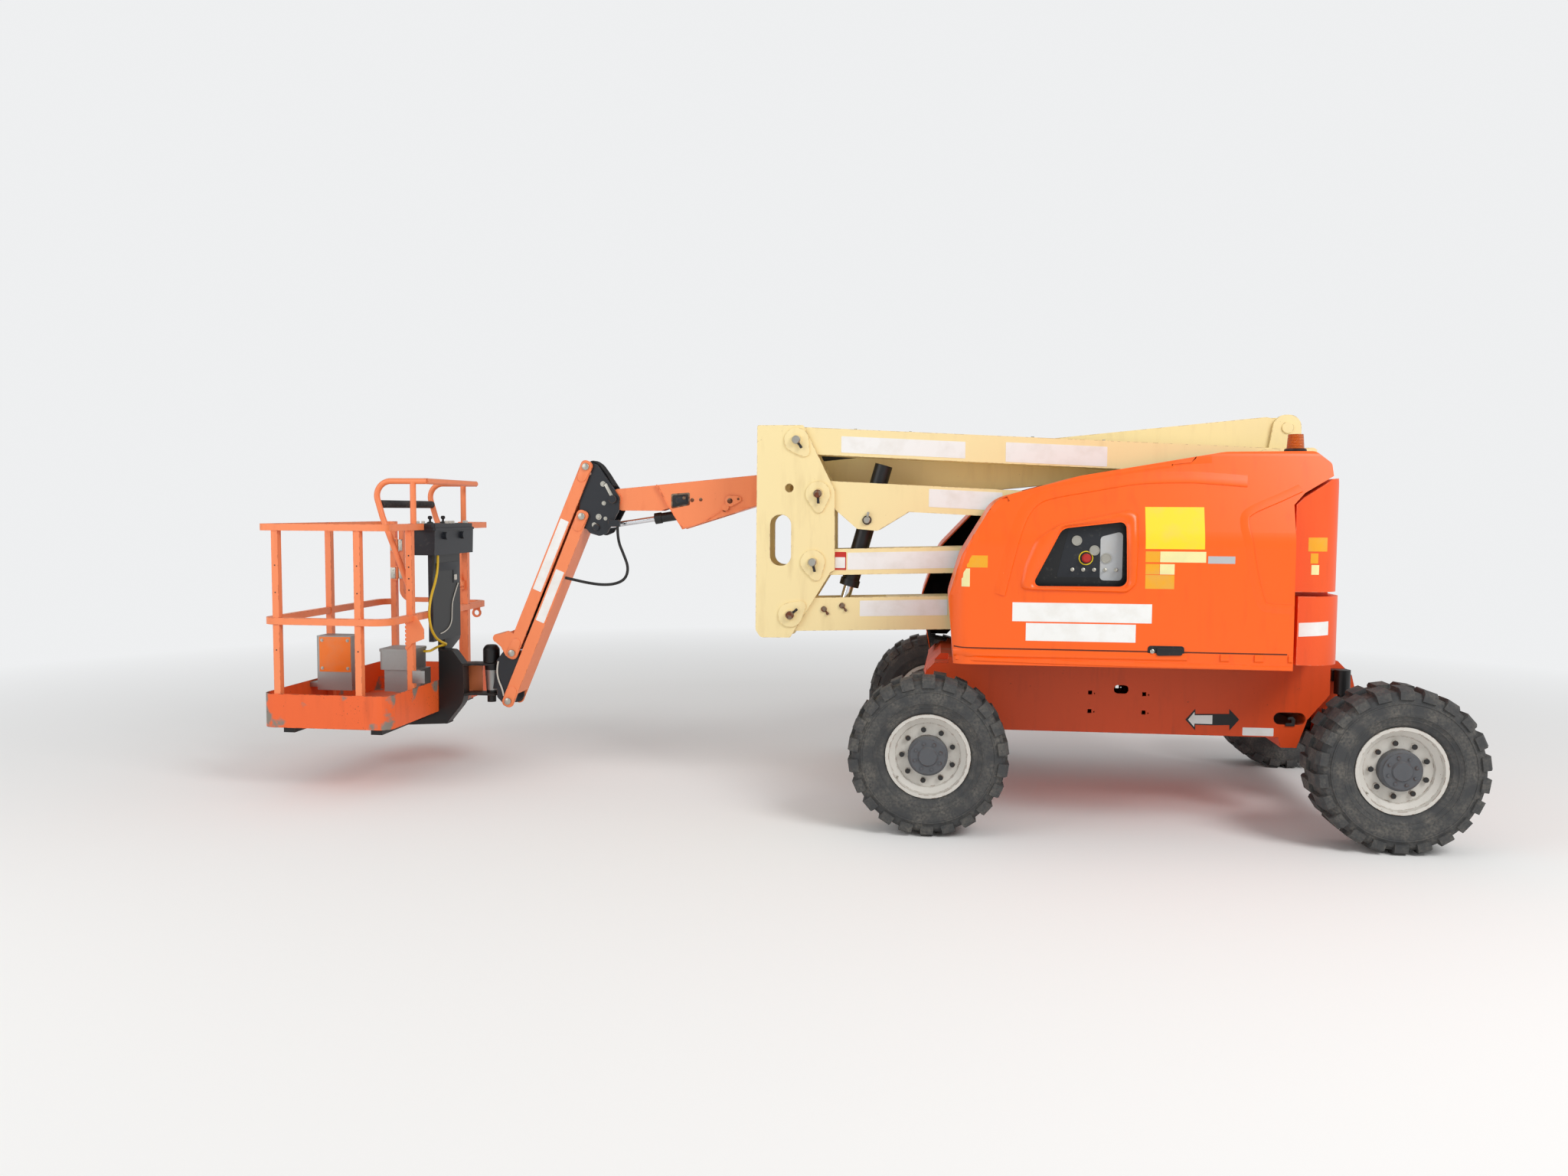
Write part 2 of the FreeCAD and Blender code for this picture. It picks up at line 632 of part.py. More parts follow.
def link(left, right, half_h, name, closed_from, closed_to, extra=()):
    """Link between two pivots: side ears at the ends and a box between."""
    angle = math.atan2(right[1] - left[1], right[0] - left[0])
    length = math.hypot(right[0] - left[0], right[1] - left[1])
    y0 = TOWER_NEAR_Y + PLATE_T + 5
    y1 = TOWER_FAR_Y - PLATE_T - 5
    side = [(-EYE_R, -half_h, 50), (length + EYE_R, -half_h, 50),
            (length + EYE_R, half_h, 50), (-EYE_R, half_h, 50)]
    placed = [tuple([left[0] + p[0], left[1] + p[1], p[2]]) for p in side]
    pieces = []
    for y in (y0, y1 - EAR_T):
        pieces.append(turned(prism(placed, y, y + EAR_T), left, angle))
    for low, high in ((-half_h, -half_h + LINK_WALL), (half_h - LINK_WALL, half_h)):
        pieces.append(span(left, right, closed_from, closed_to, low, high, y0, y1))
    pieces += list(extra)
    body = fuse(pieces)
    for at in (left, right):
        body = body.cut(cyl_y(at, TOWER_PIN_R + PIN_GAP, y0 - 5, y1 + 5))
    save(name, body)


def make_links():
    """Four links of the tower."""
    y0 = TOWER_NEAR_Y + PLATE_T + 5
    y1 = TOWER_FAR_Y - PLATE_T - 5
    gusset = [(-156, 117), (-190, 63), (-57, -52, 30), (62, -62, 30), (246, 52, 20),
              (244, 143, 20), (204, 167)]
    plates = []
    for y in (y0, y1 - EAR_T):
        plates.append(prism(moved(gusset, TRUNNION), y, y + EAR_T).cut(
            cyl_y(TRUNNION, 26 + PIN_GAP, y - 5, y + EAR_T + 5)))
    eyes = []
    for y in (y0 + EAR_T - 1, y1 - EAR_T - 24):
        eyes.append(cyl_y(TOWER_EYE, 45, y, y + 25))
    link(P1, U1, 78, "link_1", 90, LINK_LEN - 90)
    link(P2, U2, 78, "link_2", 640, LINK_LEN - 90, plates)
    link(P3, T3, 76, "link_3", 640, LINK_LEN - 90)
    link(P4, T4, 97, "link_4", 560, LINK_LEN - 90, eyes)


def make_middle_upright():
    """Two slotted plates, the webs between them and four pins."""
    edge = [(-207, -93, 40), (-201, 1111, 10), (70, 1111, 15), (244, 757), (256, 735),
            (260, 268), (237, 256), (-1, -135, 15), (-177, -137, 30)]
    slot = [(-124, 289, 60), (2, 289, 60), (2, 589, 60), (-124, 589, 60)]
    inner_near = TOWER_NEAR_Y + PLATE_T
    inner_far = TOWER_FAR_Y - PLATE_T
    pieces = []
    for y in (TOWER_NEAR_Y, inner_far):
        pieces.append(prism(moved(edge, P4), y, y + PLATE_T))
    pieces.append(box(P4[0] - 201, P4[0] - 187, TOWER_NEAR_Y + 5, TOWER_FAR_Y - 5,
                      P4[1] - 83, P4[1] + 1097))
    for at in (P1, P2, P3, P4):
        pieces.append(cyl_y(at, TOWER_PIN_R, TOWER_NEAR_Y - 22, TOWER_FAR_Y + 12))
        pieces.append(cyl_y(at, EYE_R - 12, inner_near - 1, inner_near + 4.7))
        pieces.append(cyl_y(at, EYE_R - 12, inner_far - 4.7, inner_far + 1))
        pieces.append(cyl_y(at, EYE_R - 2, TOWER_NEAR_Y - 8, TOWER_NEAR_Y + 1))
    body = fuse(pieces)
    body = body.cut(prism(moved(slot, P4), -500, 0))
    body = body.cut(cyl_y((P4[0] - 10, P4[1] + 745), 25, -500, 0))
    save("middle_upright", body)


def make_upper_upright():
    """Upright at the counterweight end that carries the main boom."""
    side = [(632, 2050, 40), (941, 2061, 25), (941, 1610, 40), (745, 1598, 40),
            (622, 1925, 50)]
    clevis = [(700, 1640, 50), (900, 1640, 50), (935, 1900, 80), (925, 2262, 70),
              (782, 2262, 70), (700, 1760, 60)]
    rear = [(925, 1620), (941, 1620), (941, 1880), (925, 1880)]
    inner_near = TOWER_NEAR_Y + PLATE_T
    inner_far = TOWER_FAR_Y - PLATE_T
    pieces = []
    for y in (TOWER_NEAR_Y, inner_far):
        pieces.append(prism(side, y, y + PLATE_T))
    for y in (-BOOM_W / 2 - 8 - 16, BOOM_W / 2 + 8):
        pieces.append(prism(clevis, y, y + 16))
    pieces.append(prism(rear, TOWER_NEAR_Y + 2, BOOM_W / 2 + 12))
    pieces.append(prism([(915, 1860), (941, 1860), (941, 2050), (915, 2050)],
                        TOWER_NEAR_Y + 2, -BOOM_W / 2 - 10))
    for at in (U1, U2):
        pieces.append(cyl_y(at, TOWER_PIN_R, TOWER_NEAR_Y - 14, TOWER_FAR_Y + 6))
        pieces.append(cyl_y(at, EYE_R - 12, inner_near - 1, inner_near + 4.7))
        pieces.append(cyl_y(at, EYE_R - 12, inner_far - 4.7, inner_far + 1))
    edge = BOOM_W / 2 + 24
    pieces.append(cyl_y(BOOM_PIVOT, 32, -edge - 8, edge + 12))
    pieces.append(cyl_y(LIFT_BASE, 25, -edge - 6, edge + 10))
    for low, high in ((-edge + 10, -44), (44, edge - 10)):
        pieces.append(cyl_y(LIFT_BASE, 42, low, high))
    save("upper_upright", fuse(pieces))


def cylinder(base, end, barrel_from, barrel_to, barrel_r, rod_r, retract, eyes, names):
    """Barrel and rod between two (x, z) points, with (base radius, bore, rod eye radius, width)."""
    y = 0
    length = math.hypot(end[0] - base[0], end[1] - base[1])
    angle = math.atan2(end[1] - base[1], end[0] - base[0])
    base_r, bore, eye_r, width = eyes

    def at(distance):
        x, z = along(base, distance, angle)
        return (x, y, z)
    barrel = bar(at(barrel_from), at(barrel_to), barrel_r)
    barrel = barrel.fuse(bar(at(barrel_to - 30), at(barrel_to + 12), barrel_r + 5))
    barrel = barrel.fuse(cyl_y(base, base_r, y - width / 2, y + width / 2))
    barrel = barrel.fuse(bar(at(bore + 2), at(barrel_from + 2), min(barrel_r, width / 2 - 1)))
    hollow = barrel_from + 15
    barrel = barrel.cut(bar(at(hollow), at(barrel_to + 20), rod_r + PIN_GAP))
    if bore > 0:
        barrel = barrel.cut(cyl_y(base, bore + PIN_GAP, y - width, y + width))
    save(names[0], barrel.removeSplitter())
    rod = bar(at(hollow + 15 + retract), at(length), rod_r)
    rod = rod.fuse(cyl_y(end, eye_r, y - width / 2 + 4, y + width / 2 - 4))
    save(names[1], rod.removeSplitter())


def make_tower_cylinder():
    """Tower lift cylinder on trunnions in the gussets of link 2."""
    y = (TOWER_NEAR_Y + TOWER_FAR_Y) / 2
    run = (TOWER_EYE[0] - TRUNNION[0], TOWER_EYE[1] - TRUNNION[1])
    length = math.hypot(*run)
    unit = (run[0] / length, run[1] / length)

    def at(distance):
        return (TRUNNION[0] + unit[0] * distance, y, TRUNNION[1] + unit[1] * distance)
    barrel = bar(at(-335), at(395), 52)
    barrel = barrel.fuse(bar(at(365), at(405), 58))
    barrel = barrel.fuse(bar(at(-30), at(30), 62))
    inner = TOWER_NEAR_Y + PLATE_T + 5
    outer = TOWER_FAR_Y - PLATE_T - 5
    barrel = barrel.fuse(cyl_y(TRUNNION, 40, inner + EAR_T + 5, outer - EAR_T - 5))
    barrel = barrel.fuse(cyl_y(TRUNNION, 26, inner - 10, outer + 4))
    barrel = barrel.cut(bar(at(-290), at(420), 30 + PIN_GAP))
    save("tower_cylinder_barrel", barrel.removeSplitter())
    rod = bar(at(-270), at(length), 30)
    rod = rod.fuse(cyl_y(TOWER_EYE, 42, y - 40, y + 40))
    save("tower_cylinder_rod", rod.removeSplitter())


# Main boom

def boom_z(x):
    """Height of the main boom's axis at x."""
    return BOOM_AXIS_AT[1] + math.tan(BOOM_SLOPE) * (x - BOOM_AXIS_AT[0])


def boom_line(x, rise):
    """Point at x whose distance from the boom's axis, square to it, is the rise."""
    return (x, boom_z(x) + rise / math.cos(BOOM_SLOPE))


def make_main_boom():
    """Base section of the main boom, with its pivot and the lugs of its lift cylinder."""
    h = BOOM_H / 2
    side = [boom_line(BOOM_LEFT, h), boom_line(738, h), (863, 2228), (902, 2200), (902, 2060),
            boom_line(860, -h), boom_line(BOOM_LEFT, -h)]
    body = prism(side, -BOOM_W / 2, BOOM_W / 2)
    w = h - BOOM_WALL
    hollow = [boom_line(BOOM_LEFT - 50, w), boom_line(640, w), boom_line(640, -w),
              boom_line(BOOM_LEFT - 50, -w)]
    body = body.cut(prism(hollow, -BOOM_W / 2 + BOOM_WALL, BOOM_W / 2 - BOOM_WALL))
    tail = [(660, 2190), (840, 2190), (840, 2060), (660, 2040)]
    body = body.cut(prism(tail, -BOOM_W / 2 + 20, BOOM_W / 2 - 20))
    # Slot that clears the lift cylinder when the boom is up
    body = body.cut(box(470, 920, -62, 62, 1900, 2061))
    body = body.fuse(cyl_y(BOOM_PIVOT, 60, -BOOM_W / 2 - 7.7, BOOM_W / 2 + 7.7))
    lug = [(-290, boom_line(-290, -h + 4)[1]), (-20, boom_line(-20, -h + 4)[1]),
           (-105, 1800, 42), (-195, 1800, 42)]
    for y in (-62, 46):
        body = body.fuse(prism(lug, y, y + 16))
    body = body.cut(cyl_y(BOOM_PIVOT, 32 + PIN_GAP, -300, 300))
    # Wear pads in the mouth of the base section
    pads = []
    w = h - BOOM_WALL
    f = FLY_H / 2 + SEAT_GAP
    for low, high in ((f, w), (-w, -f)):
        pad = [boom_line(BOOM_LEFT + 8, low), boom_line(BOOM_LEFT + 8 + PAD_LEN, low),
               boom_line(BOOM_LEFT + 8 + PAD_LEN, high), boom_line(BOOM_LEFT + 8, high)]
        pads.append(prism(pad, -60, 60))
    for side_y in (-1, 1):
        pad = [boom_line(BOOM_LEFT + 8, -50), boom_line(BOOM_LEFT + 8 + PAD_LEN, -50),
               boom_line(BOOM_LEFT + 8 + PAD_LEN, 50), boom_line(BOOM_LEFT + 8, 50)]
        edges = sorted((side_y * (FLY_W / 2 + SEAT_GAP), side_y * (BOOM_W / 2 - BOOM_WALL)))
        pads.append(prism(pad, edges[0], edges[1]))
    save("main_boom_base", body.multiFuse(pads).removeSplitter())
    cover = [boom_line(-2060, h), boom_line(-1200, h), boom_line(-1230, h + 42),
             boom_line(-2050, h + 42)]
    save("hose_cover", prism(cover, -70, 70))


def make_fly():
    """Extending section with its wedge plates, neck and the pivot of the level cylinder."""
    h = FLY_H / 2
    side = [boom_line(FLY_INNER_END, h), boom_line(-2872, h), (-2703, 1576),
            boom_line(-2232, -h), boom_line(FLY_INNER_END, -h)]
    body = prism(side, -FLY_W / 2, FLY_W / 2)
    w = h - FLY_WALL
    hollow = [boom_line(FLY_INNER_END + 50, w), boom_line(-2300, w), boom_line(-2300, -w),
              boom_line(FLY_INNER_END + 50, -w)]
    body = body.cut(prism(hollow, -FLY_W / 2 + FLY_WALL, FLY_W / 2 - FLY_WALL))
    neck = [boom_line(-2700, h), boom_line(-3120, h), (-3182, 1800, 30), (-3190, 1725, 30),
            (-3090, 1690, 40), (-2840, 1690), (-2700, 1740)]
    body = body.fuse(prism(neck, -NECK_HALF_W, NECK_HALF_W))
    body = body.fuse(cyl_y(FLY_PIN, 48, -NECK_HALF_W - 5.7, NECK_HALF_W + 5.7))
    bay = [(-2920, 1540), (-2920, 1682), (-2700, 1728), (-2480, 1766), (-2380, 1770),
           (-2380, 1650), (-2500, 1540)]
    body = body.cut(prism(bay, -50, 50))
    body = body.cut(cyl_y(FLY_PIN, 25 + PIN_GAP, -300, 300))
    body = body.fuse(cyl_y(LEVEL_BASE, 22, -FLY_W / 2 - 10, FLY_W / 2 + 10))
    frame = [(-2750, 1735), (-2680, 1742), (-2680, 1784), (-2750, 1777)]
    body = body.cut(prism(frame, -FLY_W / 2 - 1, -FLY_W / 2 + 5))
    # Wear pads at the inner end
    pads = []
    for side_y in (-1, 1):
        pad = [boom_line(FLY_INNER_END + 10, -50), boom_line(FLY_INNER_END + 10 + PAD_LEN, -50),
               boom_line(FLY_INNER_END + 10 + PAD_LEN, 50), boom_line(FLY_INNER_END + 10, 50)]
        edges = sorted((side_y * FLY_W / 2, side_y * (BOOM_W / 2 - BOOM_WALL - SEAT_GAP)))
        pads.append(prism(pad, edges[0], edges[1]))
    for low, high in ((h, BOOM_H / 2 - BOOM_WALL - SEAT_GAP),
                      (-BOOM_H / 2 + BOOM_WALL + SEAT_GAP, -h)):
        pad = [boom_line(FLY_INNER_END + 10, low), boom_line(FLY_INNER_END + 10 + PAD_LEN, low),
               boom_line(FLY_INNER_END + 10 + PAD_LEN, high), boom_line(FLY_INNER_END + 10, high)]
        pads.append(prism(pad, -60, 60))
    save("fly_section", body.multiFuse(pads).removeSplitter())


def make_boom_cylinders():
    """Lift cylinder of the main boom and the levelling cylinder of the knuckle."""
    cylinder(LIFT_BASE, LIFT_EYE, 52, 790, 50, 28, 0, (45, 25, 38, 84),
             ("boom_cylinder_barrel", "boom_cylinder_rod"))
    cylinder(LEVEL_BASE, LEVEL_EYE, 38, 455, 30, 17, LEVEL_STROKE, (34, 22, 30, 80),
             ("level_cylinder_barrel", "level_cylinder_rod"))
    cylinder(J2, K1, 32, 840, 27, 16, 0, (30, JIB_PIN_R, 28, 60),
             ("jib_cylinder_barrel", "jib_cylinder_rod"))


def make_knuckle():
    """Knuckle at the end of the fly: two plates, a web and pins."""
    edge = [(J1[0] - 30, J1[1] + 45, 38), (-3240, 1975, 30), (-3177, 1885), (-3100, 1770, 40),
            (-3104, 1690, 30), (-3178, 1550, 30), (-3228, 1530, 30), (-3290, 1548, 30),
            (-3372, 1640, 35), (-3355, 1700, 30), (-3350, 1905)]
    plates = []
    for y in (-KNUCKLE_IN - KNUCKLE_T, KNUCKLE_IN):
        plates.append(prism(edge, y, y + KNUCKLE_T))
    web = [(-3325, 1786), (-3250, 1835), (-3258, 1846), (-3325, 1800)]
    pieces = plates + [prism(web, -KNUCKLE_IN - 2, KNUCKLE_IN + 2)]
    out = JIB_HALF_W + 12
    for at in (J1, J2):
        pieces.append(cyl_y(at, JIB_PIN_R, -out, out))
        for y in (-JIB_FLANGE_IN + SEAT_GAP, KNUCKLE_IN + KNUCKLE_T - 1):
            pieces.append(cyl_y(at, 34, y, y + SIDE_GAP + 1 - SEAT_GAP))
    pieces.append(cyl_y(FLY_PIN, 25, -KNUCKLE_IN - KNUCKLE_T - 20, KNUCKLE_IN + KNUCKLE_T + 8))
    # Clamp block of the hose loop
    pieces.append(box(-3165, -3094, -114, -KNUCKLE_IN - KNUCKLE_T + 1, 1590, 1632))
    for y in (-KNUCKLE_IN - KNUCKLE_T - 12, KNUCKLE_IN + KNUCKLE_T - 1):
        pieces.append(cyl_y(LEVEL_EYE, 20, y, y + 13))
    save("knuckle", fuse(pieces))


def jib_link(start, name, web_side, extra=()):
    """Channel-shaped jib link; its web is on the given side of the line of its pins."""
    y0 = -JIB_HALF_W
    side = [(-JIB_HALF_H, -JIB_HALF_H, 30), (JIB_LEN + JIB_HALF_H, -JIB_HALF_H, 30),
            (JIB_LEN + JIB_HALF_H, JIB_HALF_H, 30), (-JIB_HALF_H, JIB_HALF_H, 30)]
    placed = [(start[0] + p[0], start[1] + p[1], p[2]) for p in side]
    pieces = []
    for y in (y0, JIB_FLANGE_IN):
        pieces.append(prism(placed, y, y + JIB_FLANGE_T))
    low, high = sorted((web_side * JIB_HALF_H, web_side * (JIB_HALF_H - JIB_WALL)))
    pieces.append(box(start[0] + 68, start[0] + JIB_LEN - 68, y0, -y0,
                      start[1] + low, start[1] + high))
    body = fuse(pieces)
    for distance in (0, JIB_LEN):
        body = body.cut(cyl_y((start[0] + distance, start[1]), JIB_PIN_R + PIN_GAP, -300, 300))
    body = turned(body, start, JIB_ANGLE)
    save(name, fuse([body] + list(extra)))


def make_jib():
    """Two jib links, the bracket at their lower ends and the platform rotator."""
    ear = [(-111, 112, 10), (-117, 75, 10), (-73, 39), (-41, -19), (2, -34), (35, -2),
           (58, 52), (9, 125, 10), (-23, 140, 15), (-73, 118)]
    ears = []
    bore = cyl_y(K1, JIB_PIN_R + PIN_GAP, -300, 300)
    for y in (-JIB_HALF_W, JIB_FLANGE_IN):
        ears.append(prism(moved(ear, K1), y, y + JIB_FLANGE_T).cut(bore))
    ears.append(cyl_y((K1[0] - 98, K1[1] + 92), 27, -JIB_HALF_W, JIB_HALF_W))
    jib_link(J1, "jib_link_upper", -1, ears)
    jib_link(J2, "jib_link_lower", 1)
    edge = [(-108, -51, 15), (-38, 40, 30), (37, 36, 30), (39, -41, 20), (7, -166),
            (17, -306, 30), (-43, -353, 30), (-108, -286, 15)]
    pieces = []
    for y in (-KNUCKLE_IN - KNUCKLE_T, KNUCKLE_IN):
        pieces.append(prism(moved(edge, K1), y, y + KNUCKLE_T))
    left = K1[0] - 111
    pieces.append(box(left, left + 10, -KNUCKLE_IN - 5, KNUCKLE_IN + 5, 538, 668))
    out = JIB_HALF_W + 12
    for at in (K1, K2):
        for y in (-out, KNUCKLE_IN):
            pieces.append(cyl_y(at, JIB_PIN_R, y, y + out - KNUCKLE_IN))
        for y in (-JIB_FLANGE_IN + SEAT_GAP, KNUCKLE_IN + KNUCKLE_T - 1):
            pieces.append(cyl_y(at, 34, y, y + SIDE_GAP + 1 - SEAT_GAP))
    body = rotator()
    clamp = box(ROTATOR_X + 21, left + 9, -40, 40, 545, 660).cut(rotator_housing())
    save("jib_end_bracket", fuse(pieces + [clamp]))
    save("rotator", body)


def rotator_housing():
    """Tapered housing between the fork plates."""
    low = ROTATOR_LOW + FORK_T
    return Part.makeCone(40, 52, ROTATOR_TOP - FORK_T - low, V(ROTATOR_X + 9, 0, low))


def rotator():
    """Rotary actuator: housing, shaft through the fork, domed cap and foot."""
    top = ROTATOR_TOP + 5
    cap = [(0, top), (ROTATOR_CAP_R, top), (ROTATOR_CAP_R, top + 85, 25),
           (34, top + 112, 20), (0, top + 112)]
    dome = Part.Face(outline([(ROTATOR_X + p[0],) + p[1:] for p in cap], 0))
    dome = dome.revolve(V(ROTATOR_X, 0, 0), V(0, 0, 1), 360)
    foot = ROTATOR_LOW - 46
    shaft = cyl_z(ROTATOR_X, 0, ROTATOR_SHAFT_R, foot, top + 5)
    nut = cyl_z(ROTATOR_X, 0, 28, foot, ROTATOR_LOW - 5)
    return fuse([rotator_housing(), dome, shaft, nut])


# Platform

def make_platform_support():
    """Cradle of the platform: curved beam, cross beams and the fork on the rotator."""
    near, far = BEAM_Y
    back = PLAT_RIGHT + 5
    fork = [(ROTATOR_X + 60, -FORK_HALF_W, 50), (ROTATOR_X + 60, FORK_HALF_W, 50),
            (PLAT_RIGHT + 195, FORK_HALF_W, 30), (back + 20, far - 2), (back + 20, near + 2),
            (PLAT_RIGHT + 170, near + 2), (PLAT_RIGHT + 210, -FORK_HALF_W, 30)]
    bore = cyl_z(ROTATOR_X, 0, ROTATOR_SHAFT_R + PIN_GAP, 300, 900)
    pieces = []
    for low in (ROTATOR_LOW, ROTATOR_TOP - FORK_T + SEAT_GAP):
        pieces.append(prism(fork, low, low + FORK_T - SEAT_GAP, "Z").cut(bore))
    post = [(back, TRAY_LOW - 60), (back, 800, 5), (back + 92, 794, 25),
            (PLAT_RIGHT + 168, 700, 50), (PLAT_RIGHT + 172, 470, 150),
            (PLAT_RIGHT + 50, 320)]
    pieces.append(prism(post, near, far))
    runner = [(PLAT_LEFT + 60, TRAY_LOW), (PLAT_LEFT + 60, 345, 20), (PLAT_RIGHT - 330, 300, 200),
              (PLAT_RIGHT + 60, 322), (PLAT_RIGHT + 60, 380), (PLAT_RIGHT + 6, TRAY_LOW)]
    pieces.append(prism(runner, near, far))
    for x in (PLAT_LEFT + 90, PLAT_RIGHT - 160):
        pieces.append(box(x, x + 70, -PLAT_HALF_Y + 90, PLAT_HALF_Y - 90, TRAY_LOW - 45,
                          TRAY_LOW))
    save("platform_support", fuse(pieces))


def rounded_plan(half_x, half_y, r):
    """Rounded rectangle about the platform's centre."""
    x0 = PLAT_X - half_x
    x1 = PLAT_X + half_x
    return [(x0, -half_y, r), (x1, -half_y, r), (x1, half_y, r), (x0, half_y, r)]


def ring(half_x, half_y, r, wall, low, high):
    """Rounded rectangular ring about the platform's centre."""
    outer = prism(rounded_plan(half_x, half_y, r), low, high, "Z")
    return outer.cut(prism(rounded_plan(half_x - wall, half_y - wall, max(r - wall, 2)),
                           low - 1, high + 1, "Z"))


POSTS = [(PLAT_LEFT + 105, -1), (PLAT_RIGHT - 188, -1), (PLAT_LEFT + 105, 1),
         (PLAT_RIGHT - 188, 1)]
RIGHT_POST_Y = 430.0
HOOP_Y = 388.0
GATE_X0 = PLAT_LEFT + 125
GATE_X1 = PLAT_RIGHT - 208
GATE_PIVOT_Y = PLAT_HALF_Y - 49
CONSOLE_X = (PLAT_RIGHT - 145, PLAT_RIGHT + 70)
CONSOLE_Y = (-280.0, 360.0)
CONSOLE_Z = (1405.0, 1600.0)


def make_platform():
    """Tray, rails, gate, guard hoop, console and boxes."""
    floor = prism(rounded_plan(PLAT_HALF_X, PLAT_HALF_Y, TRAY_CORNER), TRAY_LOW,
                  TRAY_LOW + FLOOR_T, "Z")
    wall = ring(PLAT_HALF_X, PLAT_HALF_Y, TRAY_CORNER, TRAY_WALL, TRAY_LOW, TRAY_TOP)
    save("platform_tray", fuse([floor, wall]))

    half = RAIL_S / 2
    top = ring(PLAT_HALF_X, PLAT_HALF_Y, 45, RAIL_S, TOP_RAIL_Z - half, TOP_RAIL_Z + half)
    mid = ring(PLAT_HALF_X, PLAT_HALF_Y, 110, RAIL_S, MID_RAIL_Z - half, MID_RAIL_Z + half)
    gap = box(GATE_X0 - 4, GATE_X1 + 4, PLAT_HALF_Y - 190, PLAT_HALF_Y + 110, 900, 1700)
    notch = box(CONSOLE_X[0], CONSOLE_X[1], CONSOLE_Y[0], CONSOLE_Y[1], 1400, 1700)
    pieces = [top.cut(gap).cut(notch), mid.cut(gap)]
    inset = PLAT_HALF_Y - TRAY_WALL - half
    for x, side in POSTS:
        pieces.append(box(x - half, x + half, side * inset - half, side * inset + half,
                          TRAY_LOW + FLOOR_T, TOP_RAIL_Z + half - 2))
    for x, y in ((PLAT_LEFT + TRAY_WALL + half, 0),
                 (PLAT_RIGHT - TRAY_WALL - half, -RIGHT_POST_Y),
                 (PLAT_RIGHT - TRAY_WALL - half, RIGHT_POST_Y)):
        pieces.append(box(x - half, x + half, y - half, y + half, TRAY_LOW + FLOOR_T,
                          TOP_RAIL_Z + half - 2))
    gate_y = PLAT_HALF_Y - RAIL_S / 2
    r = 16
    x0 = GATE_X0 + 22
    x1 = GATE_X1 - 22
    frame = [(x0, MID_RAIL_Z, 90), (x1, MID_RAIL_Z, 60), (x1, TOP_RAIL_Z, 40),
             (x0, TOP_RAIL_Z, 40)]
    inner = offset(frame, 32)
    gate = prism(frame, gate_y - r, gate_y + r).cut(prism(inner, gate_y - 50, gate_y + 50))
    pivot_x = GATE_X0 + 13
    hinges = []
    for z in (1195, 1395):
        gate = gate.fuse(cyl_z(pivot_x, GATE_PIVOT_Y, 8, z, z + 80))
        gate = gate.fuse(box(pivot_x, pivot_x + 40, GATE_PIVOT_Y + 4, gate_y - r + 1, z, z + 80))
        gate = gate.cut(cyl_z(pivot_x, GATE_PIVOT_Y, 4 + PIN_GAP, z - 5, z + 85))
        pivot = cyl_z(pivot_x, GATE_PIVOT_Y, 4, z - 12, z + 92)
        for low, high in ((z - 12, z - SEAT_GAP), (z + 80 + SEAT_GAP, z + 92)):
            pivot = pivot.fuse(box(GATE_X0 - 30, pivot_x + 5, GATE_PIVOT_Y - 6, inset - half + 1,
                                   low, high))
        hinges.append(pivot)
    save("platform_gate", gate.removeSplitter())
    # Lanyard ring under the mid rail
    at = (PLAT_RIGHT - half, MID_RAIL_Z - RING_DROP)
    disc = cyl_y(at, RING_OUTER_R, RING_Y, RING_Y + RING_T)
    tab = box(at[0] - RING_OUTER_R + 8, at[0] + RING_OUTER_R - 8, RING_Y, RING_Y + RING_T,
              at[1], MID_RAIL_Z - half + 2)
    lanyard = disc.fuse(tab).cut(cyl_y(at, RING_HOLE_R, RING_Y - 5, RING_Y + RING_T + 5))
    save("platform_rails", fuse(pieces + hinges + [lanyard]))


def sweep(points, r):
    """Round tube along straight runs joined by tangent arcs; a point is (x, y, z, bend)."""
    edges = []
    here = V(*points[0][:3])
    for i in range(1, len(points) - 1):
        corner = V(*points[i][:3])
        back = (V(*points[i - 1][:3]) - corner).normalize()
        ahead = (V(*points[i + 1][:3]) - corner).normalize()
        half = back.getAngle(ahead) / 2
        reach = points[i][3] / math.tan(half)
        start = corner + back * reach
        end = corner + ahead * reach
        middle = (back + ahead).normalize()
        top = corner + middle * (points[i][3] / math.sin(half) - points[i][3])
        edges.append(Part.LineSegment(here, start).toShape())
        edges.append(Part.Arc(start, top, end).toShape())
        here = end
    edges.append(Part.LineSegment(here, V(*points[-1][:3])).toShape())
    path = Part.Wire(edges)
    direction = V(*points[1][:3]) - V(*points[0][:3])
    circle = Part.Wire(Part.Circle(V(*points[0][:3]), direction, r).toShape())
    return path.makePipeShell([circle], True, False)


